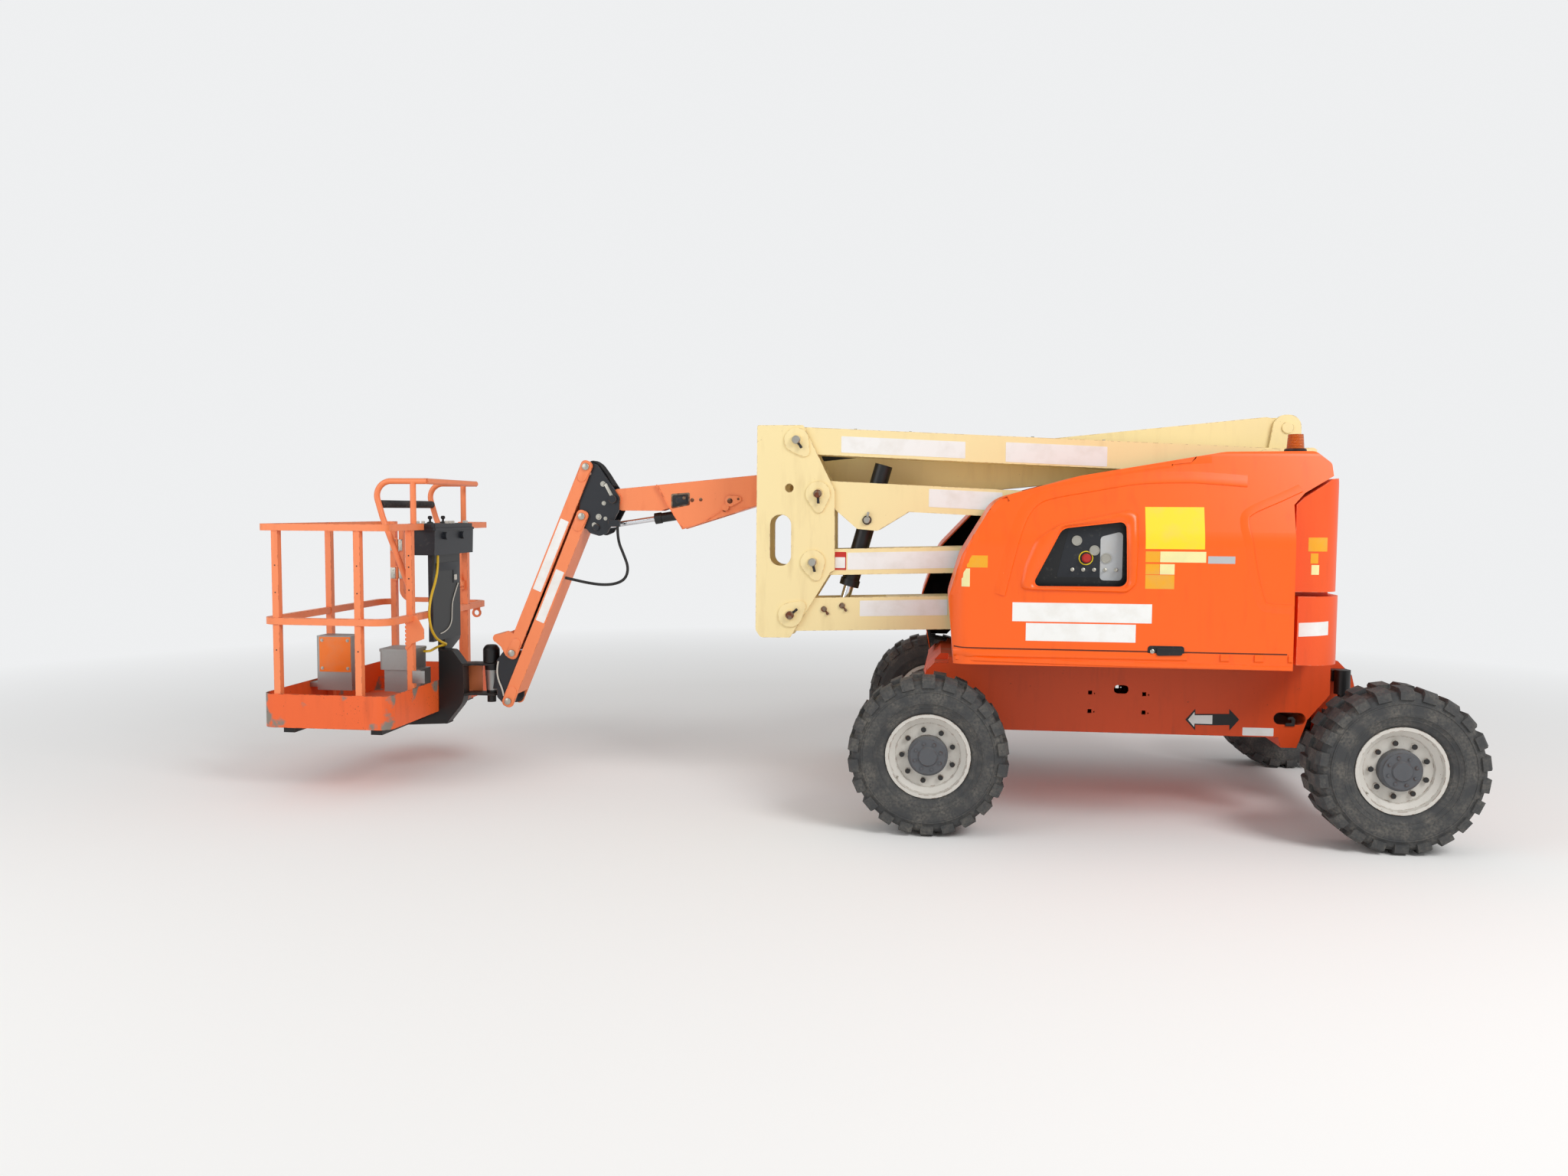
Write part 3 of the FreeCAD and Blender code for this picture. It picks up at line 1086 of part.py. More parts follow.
def make_hoop():
    """Guard hoop over the console and the padded bar across it."""
    right = PLAT_RIGHT
    top = TOP_RAIL_Z + 279
    arms = []
    for side in (-1, 1):
        y = side * HOOP_Y
        arms.append(sweep([(right - 36, y, 1170, 0), (right - 216, y, 1640, 120),
                           (right - 280, y, top, 90), (right + 75, y, top, 0)], 18))
        arms.append(bar((right - 19, y, TOP_RAIL_Z + RAIL_S / 2), (right - 19, y, top), 18))
        edges = sorted((side * (HOOP_Y - 5), side * (RIGHT_POST_Y - RAIL_S / 2)))
        arms.append(box(right - 55, right - 22, edges[0], edges[1], 1150, 1210))
    arms.append(bar((right + 65, -HOOP_Y - 10, top), (right + 65, HOOP_Y + 10, top), 18))
    hoop = fuse(arms)
    save("guard_hoop", hoop)
    x = right - 237
    pad = bar((x, -HOOP_Y + 17, 1722), (x, HOOP_Y - 17, 1722), 24)
    save("padded_bar", pad.cut(hoop))


def make_console():
    """Platform control box on its column, standing in a gap of the top rail."""
    x0, x1 = CONSOLE_X
    y0, y1 = CONSOLE_Y
    low, high = CONSOLE_Z
    flange = prism([(x0, y0, 15), (x1, y0, 15), (x1, y1, 15), (x0, y1, 15)], high - 40,
                   high - 26, "Z")
    lid = prism([(x0 + 8, y0 + 8, 20), (x1 - 8, y0 + 8, 20), (x1 - 8, y1 - 8, 20),
                 (x0 + 8, y1 - 8, 20)], high - 27, high, "Z")
    body = prism([(x0 + 12, high - 39), (x1 - 6, high - 39), (x1 - 10, low), (x0 + 40, low)],
                 y0 + 12, y1 - 12)
    column = box(PLAT_RIGHT, PLAT_RIGHT + 28, -230, 200, 860, low + 15)
    pieces = [flange, lid, body, column]
    for y in (-120, 150):
        pieces.append(bar((x1 - 30, y, high - 75), (x1 + 14, y, high - 75), 24))
    save("console_box", fuse(pieces))


def make_platform_boxes():
    """Tool box on the left posts, junction box inside and the foot switch."""
    left = PLAT_LEFT
    right = PLAT_RIGHT
    tools = box(left + 70, left + 300, -262, -120, 545, 890)
    tools = tools.fuse(box(left + 5, left + 71, -240, -140, 560, 590))
    plan = [(right - 260, -380, 25), (right - 45, -380, 25), (right - 45, -160, 25),
            (right - 260, -160, 25)]
    junction = prism(plan, 700, 812, "Z")
    lid = prism(offset(plan, -5), 812, 828, "Z")
    foot = box(right - 240, right - 5, -350, -200, TRAY_TOP - 40, 701)
    save("platform_boxes", Part.makeCompound([tools, fuse([junction, lid, foot])]))
    x = right - 270
    low = TRAY_LOW + FLOOR_T
    switch = cyl_z(x, -480, 95, low, low + 22)
    save("foot_switch", switch.fuse(Part.makeCone(80, 60, 18, V(x, -480, low + 22))))


def cord(name, route, r):
    """Tube of a free cord; each arc is as large as the runs beside it allow."""
    points = [route[0] + (0,)]
    radii = []
    for i in range(1, len(route) - 1):
        back = V(*route[i - 1]) - V(*route[i])
        ahead = V(*route[i + 1]) - V(*route[i])
        reach = 0.45 * min(back.Length, ahead.Length)
        radii.append(reach * math.tan(back.getAngle(ahead) / 2))
        points.append(route[i] + (radii[-1],))
    points.append(route[-1] + (0,))
    tube = sweep(points, r)
    length = tube.Volume / (math.pi * r * r)
    print(name, "length %.0f" % length, "radii", [round(radius) for radius in radii])
    save(name, tube)


def make_cords():
    """Hose loop under the knuckle and the cable from the console to the junction box."""
    cord("jib_hose", [
        (-3108, -102, 1590), (-3108, -102, 1508), (-3068, -103, 1415), (-3038, -103, 1335),
        (-3058, -103, 1264), (-3124, -103, 1232), (-3210, -103, 1226), (-3302, -103, 1238),
        (-3385, -93, 1254), (-3450, -80, 1266),
    ], 9)
    x = PLAT_RIGHT
    cord("platform_cable", [
        (x + 45, -185, 1405), (x + 45, -185, 1325), (x + 50, -235, 1240), (x + 54, -310, 1160),
        (x + 54, -350, 1065), (x + 54, -330, 965), (x + 54, -255, 890), (x + 58, -165, 852),
        (x + 60, -105, 836), (x + 41, -72, 826), (x + 3, -72, 818), (x - 10, -105, 810),
        (x - 8, -160, 803), (x - 12, -205, 798), (x - 45, -205, 798),
    ], 8)


make_wheels()
make_drive_axle()
make_steer_axle()
make_knuckles()
make_chassis()
make_turntable()
make_counterweight()
make_machinery()
make_hoods()
make_beacon()
make_links()
make_middle_upright()
make_upper_upright()
make_tower_cylinder()
make_main_boom()
make_fly()
make_boom_cylinders()
make_knuckle()
make_jib()
make_platform_support()
make_platform()
make_hoop()
make_console()
make_platform_boxes()
make_cords()
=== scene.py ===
"""Studio scene of an articulating boom lift.

Every measure is in metres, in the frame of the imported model: the origin is on the ground between
the axles, +X runs to the counterweight, the platform is at -X, -Y is the side with the ground
panel and +Z is up.
"""

from __future__ import annotations

import logging
import math
from dataclasses import dataclass
from enum import Enum
from typing import Any, Iterable, Sequence

import bmesh
import bpy
from mathutils import Matrix, Vector
from mathutils.bvhtree import BVHTree

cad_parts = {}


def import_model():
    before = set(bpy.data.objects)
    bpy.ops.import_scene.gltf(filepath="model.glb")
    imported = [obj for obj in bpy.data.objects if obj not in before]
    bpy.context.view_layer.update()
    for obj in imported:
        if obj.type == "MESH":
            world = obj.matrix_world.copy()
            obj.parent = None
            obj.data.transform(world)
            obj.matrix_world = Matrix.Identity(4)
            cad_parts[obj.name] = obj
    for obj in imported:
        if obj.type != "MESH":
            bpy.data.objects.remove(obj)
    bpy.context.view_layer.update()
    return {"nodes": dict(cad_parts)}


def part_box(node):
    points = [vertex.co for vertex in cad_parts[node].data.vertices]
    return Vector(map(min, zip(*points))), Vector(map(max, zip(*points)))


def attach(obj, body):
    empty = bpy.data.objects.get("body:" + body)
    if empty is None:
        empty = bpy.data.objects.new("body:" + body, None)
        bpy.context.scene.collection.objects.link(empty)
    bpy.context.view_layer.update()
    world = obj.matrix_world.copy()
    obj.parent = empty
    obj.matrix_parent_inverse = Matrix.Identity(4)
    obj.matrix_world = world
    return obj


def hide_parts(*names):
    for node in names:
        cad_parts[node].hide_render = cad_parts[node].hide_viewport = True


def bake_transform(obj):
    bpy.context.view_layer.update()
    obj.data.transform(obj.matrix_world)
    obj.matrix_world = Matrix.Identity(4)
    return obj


LOG = logging.getLogger("boom_lift")

Point = tuple[float, float, float]
Flat = tuple[float, float]
Mesh = bpy.types.Mesh
Node = bpy.types.Node
Piece = bpy.types.Object
Socket = bpy.types.NodeSocket
Tree = bpy.types.NodeTree

# The node kinds and settings that most finishes use.
MATH, MIX, RANGE = "ShaderNodeMath", "ShaderNodeMix", "ShaderNodeMapRange"
TIMES, LARGER, WAVE = ({"operation": name} for name in ("MULTIPLY", "MAXIMUM", "PINGPONG"))
COLOURS = {"data_type": "RGBA"}


def linear(code: str) -> tuple[float, float, float, float]:
    """Turn an sRGB hex colour into linear RGBA.

    Args:
        code: a hash and six hex digits.

    Returns:
        The linear colour with an alpha of 1.
    """
    values = []
    for start in (1, 3, 5):
        share = int(code[start : start + 2], 16) / 255
        values.append(share / 12.92 if share <= 0.04045 else ((share + 0.055) / 1.055) ** 2.4)
    return values[0], values[1], values[2], 1.0


def feed(node: Node, feeds: dict[Any, Any]) -> None:
    """Set a node's sockets and links.

    Args:
        node: the node.
        feeds: for each input, by name or number, its value, a hex colour, an output socket, or a
            node whose first live output is taken.
    """
    for key, value in feeds.items():
        if isinstance(value, Node):
            value = next(output for output in value.outputs if output.enabled)
        if isinstance(value, Socket):
            node.id_data.links.new(value, node.inputs[key])
        elif isinstance(value, str) and value.startswith("#"):
            node.inputs[key].default_value = linear(value)
        else:
            node.inputs[key].default_value = value


def add_node(tree: Tree, kind: str, settings: dict[str, Any] | None = None,
             feeds: dict[Any, Any] | None = None) -> Node:
    """Add a node with its settings and links.

    Args:
        tree: the node tree that takes the node.
        kind: the node's type name.
        settings: attributes of the node.
        feeds: what its inputs get, as in feed().

    Returns:
        The new node.
    """
    node = tree.nodes.new(kind)
    for name, value in (settings or {}).items():
        setattr(node, name, value)
    feed(node, feeds or {})
    return node


class Axis(Enum):
    """The axis that an outline is extruded along."""

    X = 0
    Y = 1
    Z = 2


@dataclass(frozen=True)
class Finish:
    """A surface finish; each kind of finish builds its own material.

    Attributes:
        name: the material's name.
        slot: the material slot it stands for; not used.
    """

    name: str
    slot: str

    def material(self) -> bpy.types.Material:
        """Return the finish's material, built on first use."""
        found = bpy.data.materials.get(self.name)
        if found is not None:
            return found
        made = bpy.data.materials.new(self.name)
        made.use_nodes = True
        tree = made.node_tree
        tree.nodes.clear()
        shader = add_node(tree, "ShaderNodeBsdfPrincipled")
        add_node(tree, "ShaderNodeOutputMaterial", feeds={"Surface": shader})
        self.wire(tree, shader, add_node(tree, "ShaderNodeTexCoord").outputs["Object"])
        return made

    def wire(self, tree: Tree, shader: Node, place: Socket) -> None:
        """Set the shader's sockets; each finish does this its own way."""
        raise NotImplementedError


def patches(tree: Tree, place: Socket, size: float, low: float, high: float, detail: float = 3.0,
            stretch: Point = (1.0, 1.0, 1.0)) -> Node:
    """Soft patches scattered over a surface.

    Args:
        tree: the material's tree.
        place: the coordinates to read.
        size: the patches' size in metres.
        low: the noise level below which a patch is 0.
        high: the level above which it is 1.
        detail: the number of finer layers.
        stretch: how much longer the patches are along each axis.

    Returns:
        The node that gives the patches.
    """
    scale = tuple(1.0 / part for part in stretch)
    spread = add_node(tree, "ShaderNodeMapping", feeds={"Vector": place, "Scale": scale})
    noise = add_node(tree, "ShaderNodeTexNoise", feeds={
        "Vector": spread, "Scale": 1.0 / size, "Detail": detail})
    return add_node(tree, RANGE, feeds={"Value": noise, "From Min": low, "From Max": high})


def grain(tree: Tree, place: Socket, size: float, detail: float, depth: float) -> Node:
    """A surface grain whose bumps have a size and a depth in metres.

    Args:
        tree: the material's tree.
        place: the coordinates to read.
        size: the bumps' size.
        detail: the number of finer layers.
        depth: their depth.

    Returns:
        The node that gives the bumped normal.
    """
    noise = add_node(tree, "ShaderNodeTexNoise", feeds={
        "Vector": place, "Scale": 1.0 / size, "Detail": detail})
    return add_node(tree, "ShaderNodeBump", feeds={
        "Height": noise, "Distance": depth, "Strength": 1.0})


def facing_up(tree: Tree) -> Node:
    """How far the surface faces up, from 0 at 60 degrees of slope to 1 when level."""
    normal = add_node(tree, "ShaderNodeNewGeometry").outputs["Normal"]
    rise = add_node(tree, "ShaderNodeSeparateXYZ", feeds={0: normal}).outputs["Z"]
    return add_node(tree, RANGE, feeds={"Value": rise, "From Min": 0.5, "From Max": 1.0})


def near_edges(tree: Tree, radius: float) -> Node:
    """1 within a radius of a sharp edge and 0 elsewhere.

    Args:
        tree: the material's tree.
        radius: the radius in metres.

    Returns:
        The node that gives the value.
    """
    rounded = add_node(tree, "ShaderNodeBevel", {"samples": 4}, {"Radius": radius})
    flat = add_node(tree, "ShaderNodeNewGeometry").outputs["Normal"]
    dot = add_node(tree, "ShaderNodeVectorMath", {"operation": "DOT_PRODUCT"},
                   {0: rounded, 1: flat})
    return add_node(tree, RANGE, feeds={"Value": dot, "From Min": 0.995, "From Max": 0.93})


@dataclass(frozen=True)
class Enamel(Finish):
    """Sprayed machine enamel on steel: a smooth skin with orange peel, faded and chipped outdoors.

    Attributes:
        colour: the paint.
        shade: the paint where it is stained.
        dust: the dust on level faces.
        gloss: roughness of the clean paint.
        chips: share of the surface that is chipped, from 0 to 1.
        chip_colour: what shows in a chip: rust on steel, primer on a moulding.
        edge_wear: whether the edges are rubbed.
        bare: share of the paint worn through in large patches, from 0 to 1.
        bare_colour: the primer under it.
    """

    colour: str
    shade: str
    dust: str
    gloss: float
    chips: float
    chip_colour: str
    edge_wear: bool = True
    bare: float = 0.0
    bare_colour: str = "#857B70"

    def wire(self, tree: Tree, shader: Node, place: Socket) -> None:
        """Fade, stain, dust and chip the paint."""
        fade = patches(tree, place, 0.45, 0.35, 0.75, 4.0)
        streak = patches(tree, place, 0.05, 0.52, 0.8, 4.0, (1.0, 1.0, 6.0))
        both = add_node(tree, MATH, TIMES, {0: fade, 1: streak})
        stained = add_node(tree, MATH, TIMES, {0: both, 1: 0.75})
        colour = add_node(tree, MIX, COLOURS, {0: stained, 6: self.colour, 7: self.shade})
        few = 0.78 - 0.14 * self.chips
        specks = patches(tree, place, 0.011, few, few + 0.02, 4.0)
        spread = patches(tree, place, 0.23, 0.5, 0.62, 2.0)
        chipped = add_node(tree, MATH, TIMES, {0: specks, 1: spread})
        if self.edge_wear:
            uneven = patches(tree, place, 0.03, 0.5, 0.56, 5.0)
            edge = add_node(tree, MATH, TIMES, {0: near_edges(tree, 0.006), 1: uneven})
            rubbed = add_node(tree, MATH, TIMES, {0: edge, 1: min(1.0, 0.35 + self.chips)})
            chipped = add_node(tree, MATH, LARGER, {0: chipped, 1: rubbed})
        if self.bare > 0:
            low = 0.66 - 0.2 * self.bare
            worn = patches(tree, place, 0.19, low, low + 0.05, 7.0)
            colour = add_node(tree, MIX, COLOURS, {0: worn, 6: colour, 7: self.bare_colour})
        colour = add_node(tree, MIX, COLOURS, {0: chipped, 6: colour, 7: self.chip_colour})
        lying = patches(tree, place, 0.16, 0.3, 0.75)
        settled = add_node(tree, MATH, TIMES, {0: facing_up(tree), 1: lying})
        film = add_node(tree, MATH, TIMES, {0: settled, 1: 0.55})
        rough = add_node(tree, MATH, LARGER, {0: settled, 1: chipped})
        dents = add_node(tree, "ShaderNodeBump", feeds={
            "Height": chipped, "Distance": -0.0003, "Strength": 1.0,
            "Normal": grain(tree, place, 0.004, 1.0, 0.00006)})
        feed(shader, {
            "Base Color": add_node(tree, MIX, COLOURS, {0: film, 6: colour, 7: self.dust}),
            "Roughness": add_node(tree, RANGE, feeds={
                "Value": rough, "To Min": self.gloss, "To Max": 0.8}),
            "IOR": 1.5, "Normal": dents})


@dataclass(frozen=True)
class Rubber(Finish):
    """Vulcanised rubber: black carbon-filled rubber that greys and holds pale dust in its hollows.

    Attributes:
        colour: the rubber.
        dust: the dust on it.
        cover: how much of it is dusty, from 0 to 1.
    """

    colour: str
    dust: str
    cover: float

    def wire(self, tree: Tree, shader: Node, place: Socket) -> None:
        """Grey the rubber with dust and give it a fine grain."""
        cloud = patches(tree, place, 0.09, 0.38, 0.72, 6.0)
        film = patches(tree, place, 0.012, 0.3, 0.8)
        both = add_node(tree, MATH, TIMES, {0: cloud, 1: film})
        cover = add_node(tree, MATH, TIMES, {0: both, 1: self.cover})
        feed(shader, {
            "Base Color": add_node(tree, MIX, COLOURS, {0: cover, 6: self.colour, 7: self.dust}),
            "Roughness": 0.78, "IOR": 1.52, "Normal": grain(tree, place, 0.005, 4.0, 0.0004)})


@dataclass(frozen=True)
class Plated(Finish):
    """Plated or bare steel: hard chrome on rods, zinc on pins and screws, with rust where it wore.

    Attributes:
        colour: the metal.
        gloss: its roughness.
        rust: share of the surface that has rusted, from 0 to 1.
    """

    colour: str
    gloss: float
    rust: float

    def wire(self, tree: Tree, shader: Node, place: Socket) -> None:
        """Tarnish the plating and let rust through in patches."""
        dull = patches(tree, place, 0.02, 0.3, 0.8, 4.0)
        few = 0.70 - 0.35 * self.rust
        rusty = patches(tree, place, 0.035, few, few + 0.08, 5.0)
        brown = add_node(tree, MIX, COLOURS, {0: dull, 6: "#5A2E1A", 7: "#7C4425"})
        tarnish = add_node(tree, MATH, TIMES, {0: dull, 1: 0.25})
        rough = add_node(tree, MATH, LARGER, {0: rusty, 1: tarnish})
        feed(shader, {
            "Base Color": add_node(tree, MIX, COLOURS, {0: rusty, 6: self.colour, 7: brown}),
            "Metallic": add_node(tree, RANGE, feeds={
                "Value": rusty, "To Min": 1.0, "To Max": 0.0}),
            "Roughness": add_node(tree, RANGE, feeds={
                "Value": rough, "To Min": self.gloss, "To Max": 0.85}),
            "Normal": grain(tree, place, 0.006, 4.0, 0.0002)})


@dataclass(frozen=True)
class Moulded(Finish):
    """Moulded plastic: an even colour with a fine eroded grain and a little dust.

    Attributes:
        colour: the plastic.
        dust: the dust on level faces.
        gloss: its roughness.
    """

    colour: str
    dust: str
    gloss: float

    def wire(self, tree: Tree, shader: Node, place: Socket) -> None:
        """Dust the level faces and add the grain."""
        lying = patches(tree, place, 0.12, 0.3, 0.8, 4.0)
        settled = add_node(tree, MATH, TIMES, {0: facing_up(tree), 1: lying})
        film = add_node(tree, MATH, TIMES, {0: settled, 1: 0.5})
        rubbed = patches(tree, place, 0.02, 0.6, 0.75, 5.0)
        scuffed = add_node(tree, MATH, TIMES, {0: rubbed, 1: 0.35})
        cover = add_node(tree, MATH, LARGER, {0: film, 1: scuffed})
        feed(shader, {
            "Base Color": add_node(tree, MIX, COLOURS, {0: cover, 6: self.colour, 7: self.dust}),
            "Roughness": add_node(tree, RANGE, feeds={
                "Value": cover, "To Min": self.gloss, "To Max": 0.8}),
            "IOR": 1.49, "Normal": grain(tree, place, 0.0015, 1.0, 0.00008)})


@dataclass(frozen=True)
class Vinyl(Finish):
    """Printed vinyl film: a flat even colour, a little yellowed by the sun.

    Attributes:
        colour: the film.
    """

    colour: str

    def wire(self, tree: Tree, shader: Node, place: Socket) -> None:
        """Yellow the film a little."""
        old = patches(tree, place, 0.08, 0.45, 0.8, 5.0)
        aged = add_node(tree, MATH, TIMES, {0: old, 1: 0.22})
        feed(shader, {
            "Base Color": add_node(tree, MIX, COLOURS, {0: aged, 6: self.colour, 7: "#B8A98C"}),
            "Roughness": 0.42, "Normal": grain(tree, place, 0.02, 2.0, 0.0001)})


@dataclass(frozen=True)
class Lens(Finish):
    """Tinted polycarbonate lens: clear plastic over ribs.

    Attributes:
        colour: the tint on the ribs' crests.
        deep: the tint between them.
        rib: the ribs' height in metres.
    """

    colour: str
    deep: str
    rib: float

    def wire(self, tree: Tree, shader: Node, place: Socket) -> None:
        """Tint the lens and rib it."""
        height = add_node(tree, "ShaderNodeSeparateXYZ", feeds={0: place}).outputs["Z"]
        wave = add_node(tree, MATH, WAVE, {0: height, 1: self.rib})
        crest = add_node(tree, RANGE, feeds={
            "Value": wave, "From Min": 0.0, "From Max": self.rib})
        feed(shader, {
            "Base Color": add_node(tree, MIX, COLOURS, {0: crest, 6: self.colour, 7: self.deep}),
            "Roughness": 0.12, "Transmission Weight": 0.25, "IOR": 1.58,
            "Normal": add_node(tree, "ShaderNodeBump", feeds={
                "Height": wave, "Distance": 0.5, "Strength": 1.0})})


# Gelcoat over glass fibre: a wet gloss that fades in the sun and chips to pale primer.
HOOD_ORANGE = Enamel("fibreglass_hood_gelcoat_orange", "orange", "#FB6204", "#DE5004", "#D08A56",
                     0.3, 0.05, "#F3B183", False)
# Enamel on rolled plate: a satin skin, streaked by rain, with rust in its chips and on its edges.
CREAM = Enamel("boom_enamel_cream", "cream", "#F6E2A9", "#DAC28C", "#CDBC94", 0.42, 0.3, "#7A4526")
BOOM_ORANGE = Enamel("boom_enamel_orange", "boom_orange", "#F58A56", "#DE6C3C", "#CFA284", 0.42,
                     0.35, "#8A3A1C")
CHASSIS_ORANGE = Enamel("chassis_enamel_orange", "orange", "#E04C12", "#B03C12", "#A5826A", 0.5,
                        0.5, "#5E3320")
# The same enamel walked on: primer shows in patches as large as a hand.
TRAY_ORANGE = Enamel("tray_enamel_orange_worn", "grey_paint", "#EE6428", "#BC491C", "#9A8272",
                     0.5, 0.9, "#5B3322", True, 0.45)
# Enamel on castings: glossy and full on the counterweights, dull and dusty near the ground.
CAST_ORANGE = Enamel("counterweight_enamel_orange", "orange", "#F2581A", "#C9481A", "#C08A66",
                     0.36, 0.2, "#E0A084")
CHARCOAL = Enamel("casting_enamel_charcoal", "charcoal", "#191D24", "#12151A", "#68665F", 0.42,
                  0.25, "#7A5236")
HUB_GREY = Enamel("hub_casting_grey", "iron", "#54565A", "#3E3F42", "#8A847A", 0.6, 0.3,
                  "#4E2E1C")
IRON = Enamel("axle_casting_black", "iron", "#242424", "#191817", "#6D6558", 0.65, 0.3, "#4E2E1C")
# Enamel on thin steel: black on frames and cylinders, chalky white on the wheels.
BLACK_PAINT = Enamel("frame_enamel_black", "black_paint", "#0D0E10", "#08090A", "#55514A", 0.42,
                     0.25, "#5A3D2B")
RIM_CREAM = Enamel("wheel_enamel_cream", "rim_cream", "#CFCBC3", "#A9A49A", "#A8A193", 0.55, 0.6,
                   "#6E4428")
# Hard chrome: a mirror. Zinc: a dull grey sheen. Raw pins: zinc that has mostly rusted.
CHROME = Plated("hard_chrome_rod", "chrome", "#E3E6EA", 0.08, 0.0)
ZINC = Plated("zinc_plated_pins", "chrome", "#B9B6AC", 0.34, 0.12)
RUSTY = Plated("rusted_pin_heads", "chrome", "#8C7A68", 0.5, 0.75)
# Mill-finish aluminium sheet: broad soft reflections without a clear image.
ALUMINIUM = Plated("aluminium_sheet_dull", "grey_plastic", "#A3A5A3", 0.42, 0.03)
# Rubber and foam: no shine at all, grey with dust where they are open to it. Two dark films in the
# rubber shader are painted shade, not rubber: the hood's groove line and the sheet inside the
# hoods.
TYRE = Rubber("tyre_rubber_dusty", "tyre", "#3C3D3E", "#8E877B", 0.62)
HOSE = Rubber("hose_rubber_black", "hose", "#1B1C1E", "#6B675F", 0.25)
# Painted shadow: a dark brown film along the hood's groove line stands in for the groove's shade.
PAINTED_GROOVE_SHADOW = Rubber("painted_groove_shadow", "black_plastic", "#5A2208", "#7A3A18", 0.3)
# Painted shade: a near-black film inside both hoods stands in for their shaded insides.
PAINTED_HOOD_SHADE = Rubber("acoustic_foam_lining", "black_plastic", "#131415", "#2C2A28", 0.3)
FOAM = Rubber("foam_sleeve_black", "foam", "#202124", "#8A867C", 0.5)
# Moulded ABS and cable jackets: an even colour under a soft sheen, scuffed and a little dusty.
BLACK_PLASTIC = Moulded("abs_moulded_black", "black_plastic", "#121315", "#5E5B54", 0.42)
DARK_PLASTIC = Moulded("console_moulded_charcoal", "charcoal", "#1A1E25", "#55544F", 0.45)
RED_PLASTIC = Moulded("switch_moulded_red", "red", "#B3231B", "#8A6A60", 0.4)
YELLOW_PLASTIC = Moulded("cable_jacket_yellow", "cable_yellow", "#D9B31E", "#9A8A5E", 0.45)
WHITE_CABLE = Moulded("cable_jacket_white", "grey_plastic", "#C9C6BC", "#9A968C", 0.45)
# Polycarbonate: the beacon glows where light passes its ribs.
AMBER = Lens("polycarbonate_lens_amber", "amber", "#F07A12", "#B84E08", 0.004)
# Vinyl and foil: flat bright fields with a thin edge and a yellow cast from the sun.
WHITE_VINYL = Vinyl("vinyl_plate_white", "grey_plastic", "#F1F1EE")
DULL_ORANGE = Vinyl("reflective_film_orange", "orange", "#F47B1C")
PALE_VINYL = Vinyl("vinyl_plate_pale_yellow", "amber", "#F2E9A6")
YELLOW_VINYL = Vinyl("vinyl_plate_yellow", "amber", "#F6D91E")
AMBER_VINYL = Vinyl("vinyl_plate_amber", "amber", "#F0A818")
RED_VINYL = Vinyl("vinyl_plate_red", "red", "#C6281E")
SILVER_VINYL = Vinyl("foil_plate_silver", "grey_plastic", "#B9BCBE")


def linked(name: str, data: bpy.types.ID) -> Piece:
    """Put an object with its data into the scene.

    Args:
        name: the object's name.
        data: its mesh, curve, camera or lamp.

    Returns:
        The object.
    """
    made = bpy.data.objects.new(name, data)
    bpy.context.scene.collection.objects.link(made)
    return made


def shade(mesh: Mesh, angle: float = 35.0) -> None:
    """Shade a mesh smooth except across edges sharper than an angle in degrees."""
    mesh.shade_smooth()
    mesh.set_sharp_from_angle(angle=math.radians(angle))


def settle(piece: Piece, body: str) -> Piece:
    """Hang a finished piece on its body.

    Args:
        piece: the piece.
        body: the body that carries it.

    Returns:
        The same piece.
    """
    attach(piece, body)
    LOG.info("%s rides on %s", piece.name, body)
    return piece


def hang(name: str, mesh: Mesh, finish: Finish, body: str) -> Piece:
    """Make a piece of a mesh, with its finish, and hang it on its body.

    Args:
        name: the piece's name.
        mesh: its mesh.
        finish: its finish.
        body: the body that carries it.

    Returns:
        The piece.
    """
    made = linked(name, mesh)
    mesh.materials.clear()
    mesh.materials.append(finish.material())
    return settle(made, body)


def to_mesh(build: bmesh.types.BMesh, name: str) -> Mesh:
    """Turn a bmesh into a mesh with its faces outwards.

    Args:
        build: the bmesh, which is freed.
        name: the mesh's name.

    Returns:
        The mesh.
    """
    bmesh.ops.recalc_face_normals(build, faces=build.faces)
    mesh = bpy.data.meshes.new(name)
    build.to_mesh(mesh)
    build.free()
    shade(mesh)
    return mesh


def corner_arc(before: Flat, here: Flat, after: Flat, radius: float, steps: int) -> list[Flat]:
    """Points of the arc that rounds a corner between two straight sides.

    Args:
        before: the corner before it.
        here: the corner.
        after: the corner after it.
        radius: the arc's radius.
        steps: how many parts the arc has.

    Returns:
        The arc's points.
    """
    back = (Vector(before) - Vector(here)).normalized()
    ahead = (Vector(after) - Vector(here)).normalized()
    half = back.angle(ahead) / 2
    reach = radius / math.tan(half)
    start = Vector(here) + back * reach
    centre = Vector(here) + (back + ahead).normalized() * (radius / math.sin(half))
    first = start - centre
    turn = (math.pi - 2 * half) * (1 if back.cross(ahead) < 0 else -1)
    points = []
    for step in range(steps + 1):
        spun = first.copy()
        spun.rotate(Matrix.Rotation(turn * step / steps, 2))
        points.append(tuple(centre + spun))
    return points


def rounded(points: Sequence[tuple[float, ...]], steps: int = 5) -> list[Flat]:
    """Round the corners of an outline; a point is (a, b) or (a, b, radius).

    Args:
        points: the outline.
        steps: how many parts each arc has.

    Returns:
        The rounded outline.
    """
    count = len(points)
    result: list[Flat] = []
    for i, point in enumerate(points):
        here = (point[0], point[1])
        if len(point) < 3:
            result.append(here)
            continue
        before = points[i - 1][:2]
        after = points[(i + 1) % count][:2]
        result += corner_arc(before, here, after, point[2], steps)
    return result


def lifted(a: float, b: float, level: float, axis: Axis) -> Point:
    """A flat point at a level of the extrusion's axis."""
    if axis is Axis.X:
        return level, a, b
    if axis is Axis.Y:
        return a, level, b
    return a, b, level


